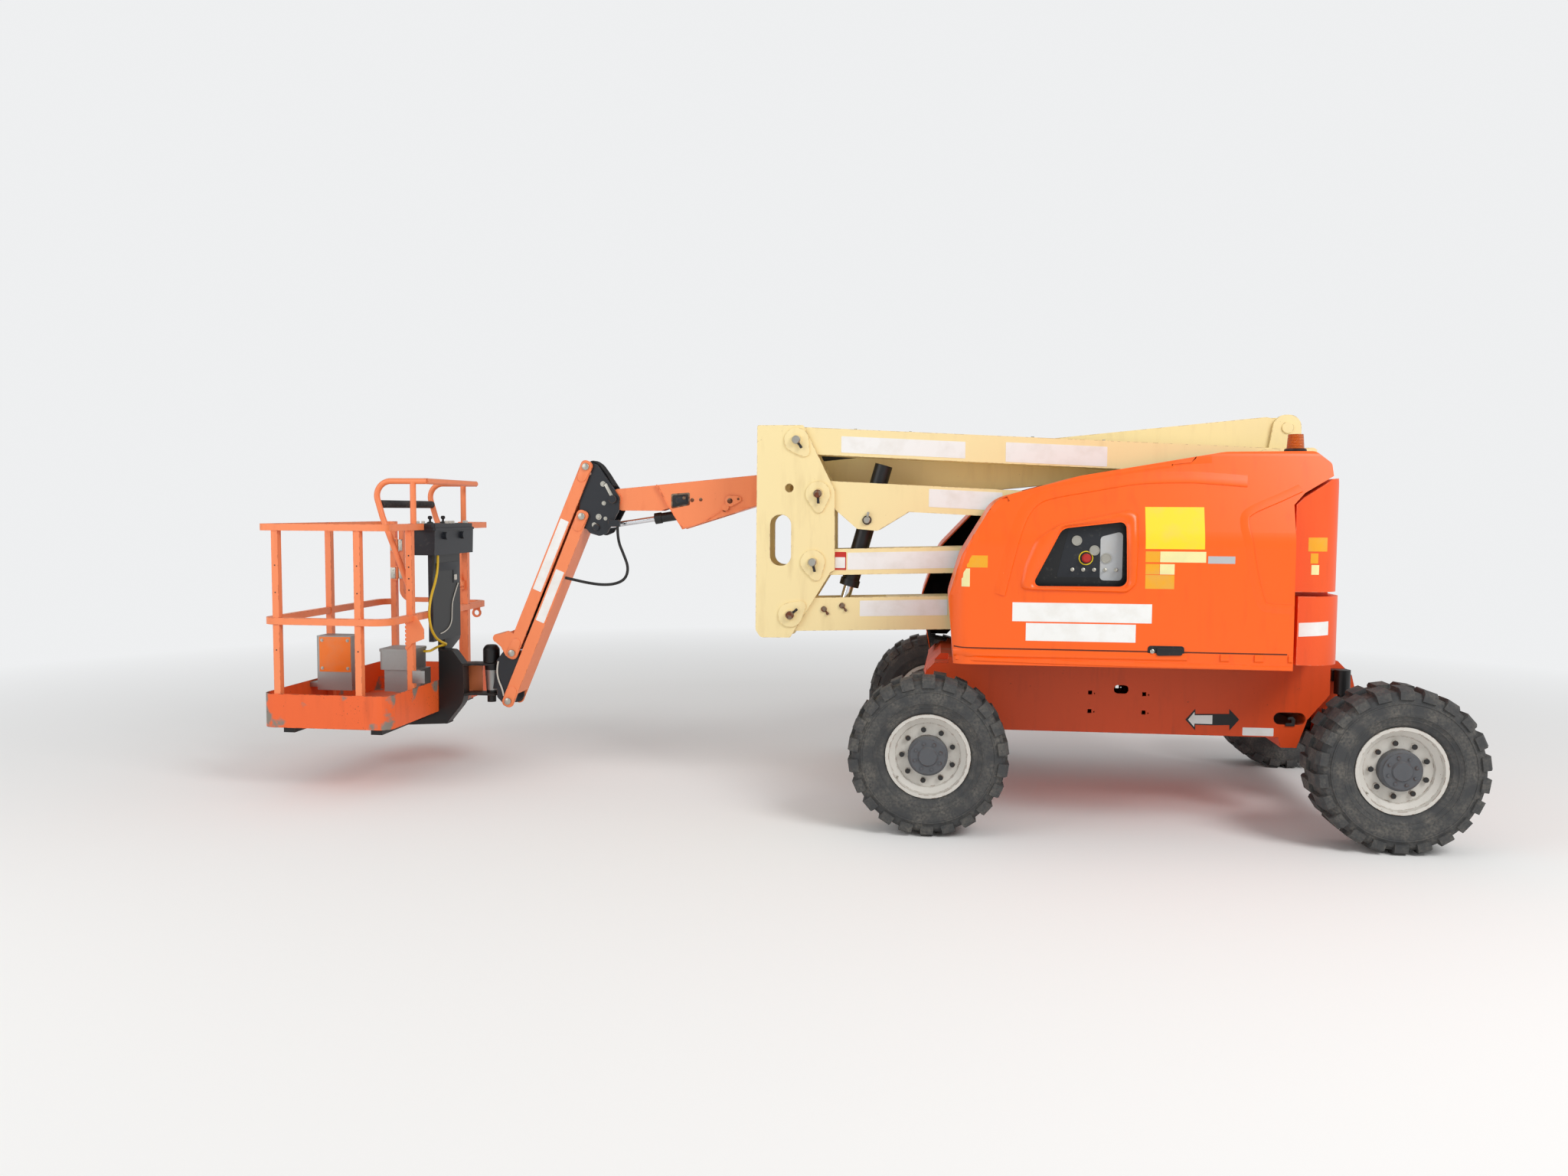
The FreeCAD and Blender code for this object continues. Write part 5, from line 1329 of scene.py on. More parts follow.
@dataclass
class Turntable(Assembly):
    """The turntable: deck, counterweights, machinery, hoods and the plates on them.

    Attributes:
        hood_y: the near hood's outer face.
    """

    hood_y: float = -1.08

    def build(self) -> None:
        """Dress the turntable and add the hood's details."""
        self.dress(BLACK_PAINT, "turntable_deck", "fluid_tank")
        self.dress(CAST_ORANGE, "counterweight_lower", "counterweight_upper")
        self.dress(IRON, "engine")
        self.dress(BLACK_PLASTIC, "ground_panel")
        self.dress(HOOD_ORANGE, "near_hood", "far_hood")
        self.dress(AMBER, "beacon")
        # Painted shade: a near-black sheet inside each hood darkens its inside.
        for body, middle in (("near_hood", (-0.2, -0.75, 1.4)), ("far_hood", (-0.3, 0.6, 1.4))):
            painted_shade_sheet(body + "_lining", self.nodes[body], Vector(middle), body)
        base = lathe("base", [(-0.001, 0.053), (0.004, 0.056), (0.018, 0.055), (0.0235, 0.047)],
                     (0.72, -0.75, 2.013), Axis.Z, 40)
        hang("beacon_base", base, BLACK_PLASTIC, "near_hood")
        skin = Skin(self.nodes["near_hood"], "near_hood")
        self.relief(skin)
        self.plates(skin)
        self.latch()
        self.controls()

    def relief(self, skin: Skin) -> None:
        """The pressed lines of the near hood: window frame, shoulders, sill and pocket bands, and a
        painted shadow line where the groove is.
        """
        outer = rounded([(-0.716, 1.296, 0.03), (-0.690, 1.425, 0.15), (-0.635, 1.560, 0.09),
                         (-0.525, 1.630, 0.12), (-0.160, 1.712, 0.03), (-0.118, 1.690, 0.02),
                         (-0.122, 1.330, 0.04), (-0.170, 1.286, 0.03)])
        inner = rounded([(-0.655, 1.311, 0.02), (-0.503, 1.617, 0.055), (-0.176, 1.656, 0.03),
                         (-0.168, 1.314, 0.035)])
        skin.place("hood_window_frame", skin.frame(
            outer, inner, Vector((-0.37, 1.46)),
            [(0.0, -0.002), (0.1, 0.006), (0.3, 0.013), (0.62, 0.013), (0.9, 0.004), (0.97, 0.001),
             (0.99, -0.003), (0.5, -0.003)]), HOOD_ORANGE)
        shoulder = [(-1.058, 1.262), (-0.978, 1.495), (-0.922, 1.642), (-0.851, 1.737),
                    (-0.778, 1.788), (-0.610, 1.843), (-0.412, 1.888), (-0.161, 1.936),
                    (0.088, 1.972), (0.25, 1.985)]
        crease = [(-0.786, 1.263), (-0.719, 1.541), (-0.671, 1.673), (-0.615, 1.738),
                  (-0.537, 1.768), (-0.354, 1.802), (-0.117, 1.841), (0.119, 1.849),
                  (0.257, 1.842), (0.42, 1.829)]
        rear = [(0.640, 1.232), (0.535, 1.238), (0.500, 1.262), (0.461, 1.410), (0.436, 1.552),
                (0.420, 1.645), (0.442, 1.690), (0.587, 1.758), (0.688, 1.806)]
        bottom = [(-1.030, 0.934), (-0.420, 0.922), (0.283, 0.916), (0.644, 0.913)]
        soft = [(-0.004, -0.002), (0.001, 0.005), (0.012, 0.0065), (0.035, 0.003), (0.075, -0.002)]
        for name, line, profile in (
            ("hood_shoulder", shoulder, [(-0.045, -0.002), (-0.004, 0.005), (0.004, 0.0055),
                                         (0.04, -0.002)]),
            ("hood_crease", crease, soft),
            ("hood_rear_crease", rear, [(-0.003, -0.002), (0.001, 0.007), (0.008, 0.0075),
                                        (0.05, -0.002)]),
            ("hood_sill", bottom, [(0.013, -0.002), (0.008, 0.006), (-0.008, 0.006),
                                   (-0.013, -0.002)]),
        ):
            skin.place(name, skin.ridge(line, profile), HOOD_ORANGE)
        band = [(0.0, -0.002), (-0.004, 0.006), (-0.012, 0.0085), (-0.034, 0.0075),
                (-0.046, -0.002)]
        pieces = []
        for start, end in ((-1.040, 0.133), (0.296, 0.338), (0.462, 0.504), (0.626, 0.645)):
            line = [(start + (end - start) * share, 0.984) for share in (0.0, 0.33, 0.67, 1.0)]
            pieces.append(skin.ridge(line, band))
        skin.place("hood_bands", joined("bands", pieces), HOOD_ORANGE)
        # Painted shadow: a thin dark film along the groove line stands in for the groove, which the
        # shell does not have.
        groove = [(-1.043, 0.994), (-0.94, 0.989), (-0.5, 0.988), (0.1, 0.987), (0.62, 0.986)]
        strip = [(0.0035, -0.0006), (0.003, 0.0012), (-0.003, 0.0012), (-0.0035, -0.0006)]
        skin.place("hood_groove_painted_shadow", skin.ridge(groove, strip), PAINTED_GROOVE_SHADOW)

    def plates(self, skin: Skin) -> None:
        """Bare plates where the hood and the counterweights carry them."""
        spots = [
            ("hood_plate_long", panel(-0.746, -0.046, 1.132, 1.230), WHITE_VINYL),
            ("hood_plate_short", panel(-0.676, -0.124, 1.032, 1.124), WHITE_VINYL),
            ("hood_notice_big", panel(-0.085, 0.206, 1.512, 1.725), YELLOW_VINYL),
            ("hood_notice_row_mark", panel(-0.084, -0.014, 1.445, 1.500), AMBER_VINYL),
            ("hood_notice_row", panel(-0.012, 0.213, 1.445, 1.500), PALE_VINYL),
            ("hood_notice_lower_mark", panel(-0.083, -0.014, 1.383, 1.436), AMBER_VINYL),
            ("hood_notice_lower", panel(-0.012, 0.060, 1.383, 1.436), PALE_VINYL),
            ("hood_notice_foot", panel(-0.083, 0.060, 1.309, 1.380), AMBER_VINYL),
            ("hood_notice_front", panel(-0.982, -0.876, 1.408, 1.470), AMBER_VINYL),
            ("hood_notice_slim", panel(-1.008, -0.966, 1.308, 1.402), PALE_VINYL),
            ("hood_foil", panel(0.223, 0.355, 1.441, 1.478), SILVER_VINYL),
        ]
        for name, corners, finish in spots:
            skin.place(name, skin.sheet(corners), finish)
        upper = Skin(self.nodes["counterweight_upper"], "turntable")
        lower = Skin(self.nodes["counterweight_lower"], "turntable")
        for name, face, corners, finish in (
            ("rear_notice_top", upper, panel(0.728, 0.824, 1.505, 1.575), AMBER_VINYL),
            ("rear_notice_middle", upper, panel(0.741, 0.778, 1.444, 1.495), AMBER_VINYL),
            ("rear_notice_foot", upper, panel(0.746, 0.784, 1.387, 1.436), PALE_VINYL),
            ("rear_plate", lower, panel(0.694, 0.845, 1.070, 1.140, 0.06), WHITE_VINYL),
        ):
            face.place(name, face.sheet(corners), finish)

    def latch(self) -> None:
        """The hood's paddle latch in its cup."""
        y = self.hood_y
        cup = slab("cup", [(-0.062, 0.958, 0.015), (0.118, 0.958, 0.015), (0.118, 1.018, 0.015),
                           (-0.062, 1.018, 0.015)], y - 0.004, y + 0.002, Axis.Y, 0.002)
        hang("latch_cup", cup, BLACK_PLASTIC, "near_hood")
        paddle = slab("paddle", [(-0.02, 0.968, 0.01), (0.108, 0.972, 0.01), (0.108, 1.008, 0.01),
                                 (-0.02, 1.008, 0.01)], y - 0.016, y - 0.004, Axis.Y, 0.004)
        hang("latch_paddle", paddle, BLACK_PLASTIC, "near_hood")
        lock = lathe("lock", [(0.0, 0.011), (-0.008, 0.011), (-0.01, 0.008)],
                     (-0.041, y - 0.004, 0.99), Axis.Y, 20)
        hang("latch_lock", lock, ZINC, "near_hood")

    def controls(self) -> None:
        """Switches, gauges and the stop button on the ground panel."""
        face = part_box("ground_panel")[0].y
        spots = {"gauge": (-0.42, 1.55), "key": (-0.33, 1.50), "lever_a": (-0.27, 1.46)}
        dark = []
        for step in range(5):
            x = -0.44 + 0.055 * step
            dark.append(lathe("toggle", [(0.0, 0.01), (-0.006, 0.01), (-0.008, 0.004),
                                         (-0.03, 0.005), (-0.032, 0.002)],
                              (x, face, 1.40), Axis.Y, 16))
        for x, z in spots.values():
            dark.append(lathe("gauge", [(0.0, 0.026), (-0.008, 0.026), (-0.008, 0.022),
                                        (-0.005, 0.021)], (x, face, z), Axis.Y, 28))
        hang("panel_switches", joined("switches", dark), ZINC, "turntable")
        corners = ((-0.66, 1.30), (-0.40, 1.30), (-0.16, 1.30), (-0.16, 1.62), (-0.50, 1.63))
        screws("panel_screws", "turntable", ZINC,
               [((x, face, z), 0.006, Facing.NEAR) for x, z in corners])
        diagram = slab("diagram", [(-0.30, 1.345, 0.02), (-0.188, 1.345, 0.02),
                                   (-0.188, 1.60, 0.02), (-0.30, 1.57, 0.02)],
                       face - 0.0018, face - 0.0011, Axis.Y)
        hang("panel_diagram", diagram, SILVER_VINYL, "turntable")
        ring = torus("ring", (-0.372, face - 0.001, 1.46), 0.034, 0.003, Axis.Y, 40)
        hang("stop_ring", ring, YELLOW_VINYL, "turntable")
        stop = lathe("stop", [(0.0, 0.014), (-0.018, 0.014), (-0.018, 0.024), (-0.028, 0.024),
                              (-0.034, 0.018), (-0.036, 0.004)], (-0.372, face, 1.46), Axis.Y, 28)
        hang("stop_button", stop, RED_PLASTIC, "turntable")
        plates = slab("legend", [(-0.52, 1.36, 0.01), (-0.2, 1.36, 0.01), (-0.2, 1.62, 0.01),
                                 (-0.46, 1.62, 0.01)], face - 0.0012, face, Axis.Y)
        hang("panel_legend", plates, DARK_PLASTIC, "turntable")


@dataclass
class PinHead:
    """A pin's head with its keeper plate and screw, on a face that looks towards -Y.

    Attributes:
        radius: the head's radius.
        proud: how far the head stands out.
        keeper: direction of the keeper from the pin, in degrees from +X.
    """

    radius: float = 0.026
    proud: float = 0.014
    keeper: float = -60.0

    def meshes(self, x: float, z: float, y: float) -> tuple[Mesh, Mesh]:
        """Build the head and the keeper.

        Args:
            x: the pin's place along X.
            z: its height.
            y: the face that it stands on.

        Returns:
            The head's mesh and the keeper's mesh.
        """
        r = self.radius
        head = lathe("head", [(0.001, r), (-self.proud + 0.004, r), (-self.proud, r - 0.004)],
                     (x, y, z), Axis.Y, 24)
        angle = math.radians(self.keeper)
        run = Vector((math.cos(angle), math.sin(angle)))
        side = Vector((-run.y, run.x))
        length = r * 2.4
        corners = []
        for along, across in ((0.0, -0.3), (1.0, -0.3), (1.0, 0.3), (0.0, 0.3)):
            spot = Vector((x, z)) + run * (along * length) + side * (across * r)
            corners.append((spot.x, spot.y))
        bar = slab("bar", corners, y - 0.006, y + 0.0005, Axis.Y, 0.001)
        end = Vector((x, z)) + run * (length * 0.85)
        screw = lathe("screw", [(-0.005, 0.009), (-0.012, 0.009), (-0.013, 0.006)],
                      (end.x, y, end.y), Axis.Y, 6)
        return head, joined("keeper", [bar, screw])


def teardrop(name: str, centre: Flat, radius: float, tip: float, length: float, turn: float,
             low: float, high: float) -> Mesh:
    """A boss plate: the hull of a large circle and a small one.

    Args:
        name: the mesh's name.
        centre: the large circle's centre in (x, z).
        radius: the large circle's radius.
        tip: the small circle's radius.
        length: the distance between their centres.
        turn: direction of the small circle, in degrees from +X.
        low: the plate's outer face in y.
        high: its inner face.

    Returns:
        The plate's mesh.
    """
    way = math.radians(turn)
    lean = math.acos((radius - tip) / length)
    outline = []
    for size, along, start, end in ((radius, 0.0, lean, 2 * math.pi - lean),
                                    (tip, length, -lean, lean)):
        for step in range(17):
            angle = way + start + (end - start) * step / 16
            outline.append((centre[0] + along * math.cos(way) + size * math.cos(angle),
                            centre[1] + along * math.sin(way) + size * math.sin(angle)))
    return slab(name, outline, low, high, Axis.Y, 0.0015)


@dataclass
class Tower(Assembly):
    """The tower: four links, two uprights and their lift cylinder.

    Attributes:
        link_y: outer face of the links' near ears.
        plate_y: outer face of the uprights' near plates.
        boss_y: outer face of the bosses on them.
        slope_up: how far the upper links fall towards +X, in radians.
        slope_low: how far the lower links rise towards +X, in radians.
    """

    link_y: float = -0.36
    plate_y: float = -0.38
    boss_y: float = -0.402
    slope_up: float = math.radians(2.7)
    slope_low: float = math.radians(1.66)

    def build(self) -> None:
        """Dress the tower and add pin heads, keepers and plates."""
        self.dress(CREAM, "link_1", "link_2", "link_3", "link_4")
        self.dress(CREAM, "middle_upright", "upper_upright")
        self.dress(BLACK_PAINT, "tower_cylinder_barrel")
        self.dress(CHROME, "tower_cylinder_rod")
        self.plates()
        self.pins()

    def plates(self) -> None:
        """Bare white plates along the links."""
        up, low = -self.slope_up, self.slope_low
        for name, body, corners in (
            ("link_1_plate_left", "link_1", panel(-1.698, -0.983, 2.035, 2.130, up)),
            ("link_1_plate_right", "link_1", panel(-0.754, -0.187, 1.982, 2.094, up)),
            ("link_2_plate", "link_2", panel(-1.187, -0.768, 1.722, 1.826, up)),
            ("link_3_plate", "link_3", panel(-1.656, -0.96, 1.352, 1.452, low)),
            ("link_4_plate", "link_4", panel(-1.581, -1.072, 1.080, 1.172, low)),
        ):
            placard(name, corners, self.link_y, body, WHITE_VINYL)

    def pins(self) -> None:
        """Pin heads and keepers on bosses of the middle upright, and the pins below it."""
        spots = [((-1.958, 2.107), -55.0, ZINC), ((-1.830, 1.795), -85.0, RUSTY),
                 ((-1.858, 1.395), -75.0, ZINC), ((-1.989, 1.083), 40.0, RUSTY)]
        keepers, bosses = [], []
        for number, ((x, z), turn, finish) in enumerate(spots, 1):
            head, keeper = PinHead(0.024, 0.018, turn).meshes(x, z, self.boss_y)
            hang(f"upright_pin_head_{number}", head, finish, "middle_upright")
            keepers.append(keeper)
            bosses.append(teardrop("boss", (x, z), 0.0725, 0.03, 0.082, turn, self.plate_y - 0.0095,
                                   self.plate_y + 0.0005))
        hang("upright_keepers", joined("keepers", keepers), IRON, "middle_upright")
        hang("upright_bosses", joined("bosses", bosses), CREAM, "middle_upright")
        head, keeper = PinHead(0.02, 0.012, 80.0).meshes(-1.544, 1.643, -0.37)
        hang("trunnion_head", joined("trunnion", [head, keeper]), ZINC, "link_2")
        low = []
        for x, z in ((-1.792, 1.119), (-1.685, 1.141)):
            low += list(PinHead(0.017, 0.012, -50.0).meshes(x, z, self.link_y))
        hang("link_4_pin_heads", joined("low", low), RUSTY, "link_4")
        placard("link_3_mark", panel(-1.734, -1.663, 1.350, 1.456), self.link_y, "link_3",
                RED_VINYL)
        placard("link_3_mark_field", panel(-1.728, -1.669, 1.362, 1.425), self.link_y - PLATE_THICK,
                "link_3", WHITE_VINYL)
        slope = math.tan(self.slope_up)
        crown = [((x, -0.30, 2.107 + 0.078 - (x + 1.958) * slope), 0.009, Facing.UP)
                 for x in (-1.62, -1.30, -0.60, -0.2)]
        screws("link_1_screws", "link_1", ZINC, crown)


@dataclass
class MainBoom(Assembly):
    """The main boom: base, fly, their cylinders and the hose cover.

    Attributes:
        fly_y: the fly's near face.
    """

    fly_y: float = -0.08

    def build(self) -> None:
        """Dress the boom and its cylinders."""
        self.dress(CREAM, "main_boom_base")
        self.dress(BOOM_ORANGE, "fly_section")
        self.dress(BLACK_PLASTIC, "hose_cover")
        self.dress(BLACK_PAINT, "boom_cylinder_barrel", "level_cylinder_barrel")
        self.dress(CHROME, "boom_cylinder_rod", "level_cylinder_rod")
        y = self.fly_y
        window = slab("window", [(-2.764, 1.712, 0.008), (-2.664, 1.733, 0.008),
                                 (-2.664, 1.795, 0.008), (-2.764, 1.786, 0.008)],
                      y - 0.0025, y - 0.0005, Axis.Y, 0.0006)
        rim = slab("rim", [(-2.772, 1.703, 0.01), (-2.655, 1.726, 0.01), (-2.655, 1.804, 0.01),
                           (-2.772, 1.795, 0.01)], y - 0.0012, y + 0.0005, Axis.Y, 0.0005)
        plate = slab("plate", [(-2.742, 1.735, 0.006), (-2.676, 1.748, 0.006),
                               (-2.676, 1.780, 0.006), (-2.742, 1.772, 0.006)],
                     y - 0.005, y - 0.0025, Axis.Y, 0.001)
        # Painted shade: a black film inside the latch's rim stands for the dark opening into the
        # fly.
        hang("fly_latch_window_painted_shade", window, BLACK_PAINT, "fly")
        hang("fly_latch_rim", rim, RUSTY, "fly")
        hang("fly_latch", plate, CHARCOAL, "fly")
        boss = teardrop("boss", (-2.400, 1.753), 0.034, 0.018, 0.052, 12.0, y - 0.012, y - 0.0095)
        hang("fly_pin_boss", boss, BOOM_ORANGE, "fly")
        skin = Skin(self.nodes["fly_section"], "fly")
        bead = [(-0.004, -0.001), (-0.002, 0.0035), (0.002, 0.0035), (0.004, -0.001)]
        seams = [skin.ridge(line, bead) for line in (
            [(-2.864, 1.855), (-2.816, 1.768), (-2.751, 1.650), (-2.700, 1.586)],
            [(-2.690, 1.586), (-2.560, 1.614), (-2.400, 1.652), (-2.262, 1.690)])]
        skin.place("fly_weld_seams", joined("seams", seams), BOOM_ORANGE)
        screws("fly_screws", "fly", RUSTY, [
            ((-2.640, y, 1.757), 0.008, Facing.NEAR), ((-2.586, y, 1.760), 0.007, Facing.NEAR),
            ((-2.690, y - 0.005, 1.770), 0.007, Facing.NEAR),
            ((-2.402, y - 0.0125, 1.753), 0.011, Facing.NEAR),
            ((-2.350, y - 0.0125, 1.765), 0.005, Facing.NEAR)], 0.8, 1.5, 3)


@dataclass
class Jib(Assembly):
    """The knuckle, the two jib links, their cylinder and the bracket at their lower end.

    Attributes:
        flange_y: outer face of the links' near flanges.
        knuckle_y: outer face of the knuckle's near plate.
        pin_y: near ends of the jib's pins.
        link_angle: direction of the links from their upper pivots, in radians from +X.
        hose_held: where the free hose starts to follow the lower link; not used.
        hose_led: where it follows that link alone; not used.
    """

    flange_y: float = -0.102
    knuckle_y: float = -0.084
    pin_y: float = -0.114
    link_angle: float = math.atan2(-1.175, -0.489)
    hose_held: Point = (-3.038, -0.1, 1.335)
    hose_led: Point = (-3.390, -0.1, 1.167)

    def build(self) -> None:
        """Dress the jib and add plates, screws and hoses."""
        self.dress(CHARCOAL, "knuckle", "jib_end_bracket")
        self.dress(BOOM_ORANGE, "jib_link_upper", "jib_link_lower")
        self.dress(BLACK_PAINT, "jib_cylinder_barrel", "rotator")
        self.dress(CHROME, "jib_cylinder_rod")
        self.strip("jib_upper_plate", (-3.308, 1.961), 0.36, 0.84, "jib_link_upper")
        self.strip("jib_lower_plate", (-3.336, 1.653), 0.37, 0.72, "jib_link_lower")
        self.pads()
        self.hoses()
        y = self.knuckle_y
        screws("knuckle_screws", "knuckle", ZINC, [
            ((-3.205, y, 1.855), 0.010, Facing.NEAR), ((-3.200, y, 1.735), 0.008, Facing.NEAR),
            ((-3.233, y, 1.650), 0.011, Facing.NEAR), ((-3.262, y, 1.600), 0.009, Facing.NEAR),
            ((-3.190, y, 1.640), 0.007, Facing.NEAR), ((-3.290, y, 1.920), 0.007, Facing.NEAR)],
            0.8, 1.7, 5)
        link = slab("link", [(-3.196, 1.848), (-3.146, 1.754), (-3.128, 1.764), (-3.180, 1.860)],
                    y - 0.006, y + 0.0005, Axis.Y, 0.0015)
        hang("knuckle_keeper", link, ZINC, "knuckle")
        for body, pins in (("knuckle", ((-3.308, 1.961), (-3.336, 1.653))),
                           ("jib_end", ((-3.797, 0.786), (-3.825, 0.478)))):
            caps = [lathe("cap", [(0.0002, 0.0215), (-0.003, 0.0215), (-0.005, 0.0185)],
                          (x, self.pin_y, z), Axis.Y, 28) for x, z in pins]
            hang(body + "_pin_caps", joined("caps", caps), ZINC, body)
        sleeve = lathe("sleeve", [(0.0, 0.0418), (0.13, 0.0505)], (-3.963, 0.0, 0.535), Axis.Z, 40)
        hang("rotator_sleeve", sleeve, ALUMINIUM, "jib_end")

    def pads(self) -> None:
        """Flame-cut doubler plates at the ends of the jib links."""
        y = self.flange_y
        for body, pivot, ends in (("jib_link_upper", (-3.308, 1.961), (0.0, 1.2727)),
                                  ("jib_link_lower", (-3.336, 1.653), (0.0, 1.2727))):
            plates = []
            for along in ends:
                run = Vector((math.cos(self.link_angle), math.sin(self.link_angle)))
                spot = Vector(pivot) + run * along
                turn = math.degrees(self.link_angle) + (0.0 if along == 0.0 else 180.0)
                plates.append(teardrop("pad", tuple(spot), 0.036, 0.030, 0.07, turn, y - 0.004,
                                       y + 0.0005))
            hang(body + "_pads", joined("pads", plates), BOOM_ORANGE, body)

    def hoses(self) -> None:
        """The free hose loop, the hoses strapped over the knuckle and one down the bracket."""
        route = [(-3.108, -0.102, 1.590), (-3.108, -0.102, 1.508), (-3.068, -0.103, 1.415),
                 (-3.038, -0.103, 1.335), (-3.058, -0.103, 1.264), (-3.124, -0.103, 1.232),
                 (-3.210, -0.103, 1.226), (-3.302, -0.103, 1.238), (-3.385, -0.093, 1.254),
                 (-3.450, -0.080, 1.266)]
        free, line = unrolled(hose("hose_loop", route, 0.018, HOSE))
        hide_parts("jib_hose")
        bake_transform(free)
        LOG.info("%s bends from the knuckle to the lower link", free.name)
        crown = [(-3.330, 1.935), (-3.300, 1.992), (-3.245, 1.985), (-3.205, 1.935),
                 (-3.170, 1.885), (-3.150, 1.840)]
        for number, y in enumerate((-0.052, -0.028, -0.004, 0.022), 1):
            line = [(x, y, z + 0.004 * (number % 2)) for x, z in crown]
            settle(hose(f"knuckle_hose_{number}", line, 0.017, HOSE), "knuckle")
        down = [(-3.892, -0.09, 0.730), (-3.904, -0.09, 0.677), (-3.893, -0.09, 0.608),
                (-3.866, -0.09, 0.550), (-3.858, -0.09, 0.508)]
        settle(hose("bracket_hose", down, 0.011, WHITE_CABLE), "jib_end")

    def strip(self, name: str, pivot: Flat, start: float, end: float, body: str) -> None:
        """A bare white strip along a jib link.

        Args:
            name: the piece's name.
            pivot: the link's upper pivot, as (x, z).
            start: where the strip begins, measured along the link.
            end: where it ends.
            body: the link.
        """
        run = Vector((math.cos(self.link_angle), math.sin(self.link_angle)))
        side = Vector((-run.y, run.x))
        corners = []
        for along, across in ((start, -0.028), (end, -0.028), (end, 0.028), (start, 0.028)):
            spot = Vector(pivot) + run * along + side * across
            corners.append((spot.x, spot.y))
        placard(name, corners, self.flange_y, body, WHITE_VINYL)


@dataclass
class Platform(Assembly):
    """The platform: cradle, tray, rails, gate, hoop, console and boxes.

    Attributes:
        right: the tray's right side.
        box_y: the tool box's near face.
        console_x: the console's flange from left to right.
        console_top: the top of its lid.
    """

    right: float = -4.290
    box_y: float = -0.262
    console_x: Flat = (-4.435, -4.220)
    console_top: float = 1.600

    def build(self) -> None:
        """Dress the platform and add its boxes, plates and cables."""
        self.dress(BLACK_PAINT, "platform_support")
        self.dress(TRAY_ORANGE, "platform_tray")
        self.dress(BOOM_ORANGE, "platform_rails", "guard_hoop", "platform_gate")
        self.dress(FOAM, "padded_bar")
        self.dress(DARK_PLASTIC, "console_box")
        self.dress(ALUMINIUM, "platform_boxes")
        self.dress(RED_PLASTIC, "foot_switch")
        self.tool_box()
        self.console()
        self.posts()
        self.cable()

    def tool_box(self) -> None:
        """The orange panel on the tool box, with its screws, and flat black discs of painted shade
        for the holes in the posts.
        """
        y = self.box_y
        cover = slab("cover", panel(-5.004, -4.794, 0.662, 0.884), y - 0.003, y, Axis.Y, 0.001)
        hang("tool_box_panel", cover, DULL_ORANGE, "platform")
        spots = [((x, y - 0.003, z), 0.0065, Facing.NEAR)
                 for x in (-4.984, -4.814) for z in (0.685, 0.862)]
        # Painted shade: flat black discs stand for the dark insides of holes in the posts.
        hole_shades = [((-4.315, -0.4505, z), 0.0045, Facing.NEAR) for z in (1.20, 1.27, 1.34, 1.41)]
        posts = [((x, -0.7855, z), 0.004, Facing.NEAR) for x in (-4.985, -4.478)
                 for z in (0.86, 1.20, 1.36)]
        screws("platform_screws", "platform", ZINC, spots)
        screws("platform_holes_painted_shade", "platform", BLACK_PAINT, hole_shades + posts, 0.15, 1.0)

    def console(self) -> None:
        """Caps, levers and the screen on the console, and the covers of its column."""
        x0, x1, top = self.console_x[0], self.console_x[1], self.console_top
        caps, levers = [], []
        for x, y in ((x0 + 0.05, -0.235), (x0 + 0.085, -0.235), (x0 + 0.12, -0.235),
                     (x1 - 0.035, -0.02), (x1 - 0.035, 0.03), (x1 - 0.035, 0.08),
                     (x1 - 0.035, 0.30), (x1 - 0.06, 0.33)):
            caps.append(lathe("cap", [(-0.001, 0.011), (0.014, 0.011), (0.018, 0.008)],
                              (x, y, top), Axis.Z, 16))
        for x, y in ((-4.33, 0.10), (-4.33, -0.10)):
            levers.append(lathe("lever", [(-0.001, 0.024), (0.010, 0.018), (0.014, 0.007),
                                          (0.028, 0.007), (0.032, 0.014), (0.044, 0.014),
                                          (0.050, 0.008)], (x, y, top), Axis.Z, 20))
        hang("console_caps", joined("caps", caps), WHITE_CABLE, "platform")
        hang("console_levers", joined("levers", levers), BLACK_PLASTIC, "platform")
        face = slab("face", [(x0 + 0.025, -0.255, 0.01), (x1 - 0.025, -0.255, 0.01),
                             (x1 - 0.025, 0.335, 0.01), (x0 + 0.025, 0.335, 0.01)],
                    top - 0.0005, top + 0.0015, Axis.Z, 0.0005)
        hang("console_face", face, BLACK_PLASTIC, "platform")
        column = slab("column", [(-0.2295, 0.861), (0.1995, 0.861), (0.1995, 1.404),
                                 (-0.2295, 1.404)], -4.2621, -4.2605, Axis.X)
        hang("column_cover", column, BLACK_PAINT, "platform")
        foot = slab("foot", [(-0.050, 0.868), (0.1995, 0.868), (0.1995, 0.842), (0.060, 0.786),
                             (-0.050, 0.780)], -4.310, -4.2625, Axis.X, 0.002)
        hang("column_foot", foot, BLACK_PAINT, "platform")
        shelf = slab("shelf", [(-0.178, 1.304), (0.086, 1.298), (0.086, 1.215), (0.190, 1.215),
                               (0.190, 1.352), (-0.178, 1.352)], -4.2606, -4.2575, Axis.X, 0.001)
        hang("column_shelf", shelf, DARK_PLASTIC, "platform")
        socket = slab("socket", [(0.095, 1.232, 0.006), (0.135, 1.232, 0.006),
                                 (0.135, 1.268, 0.006), (0.095, 1.268, 0.006)],
                      -4.2577, -4.2535, Axis.X, 0.001)
        hang("column_socket", socket, WHITE_CABLE, "platform")
        screws("console_screws", "platform", BLACK_PLASTIC, [
            ((x0 + 0.018 + step * 0.0595, y, top - 0.026), 0.005, Facing.UP)
            for y in (-0.276, 0.356) for step in range(4)])

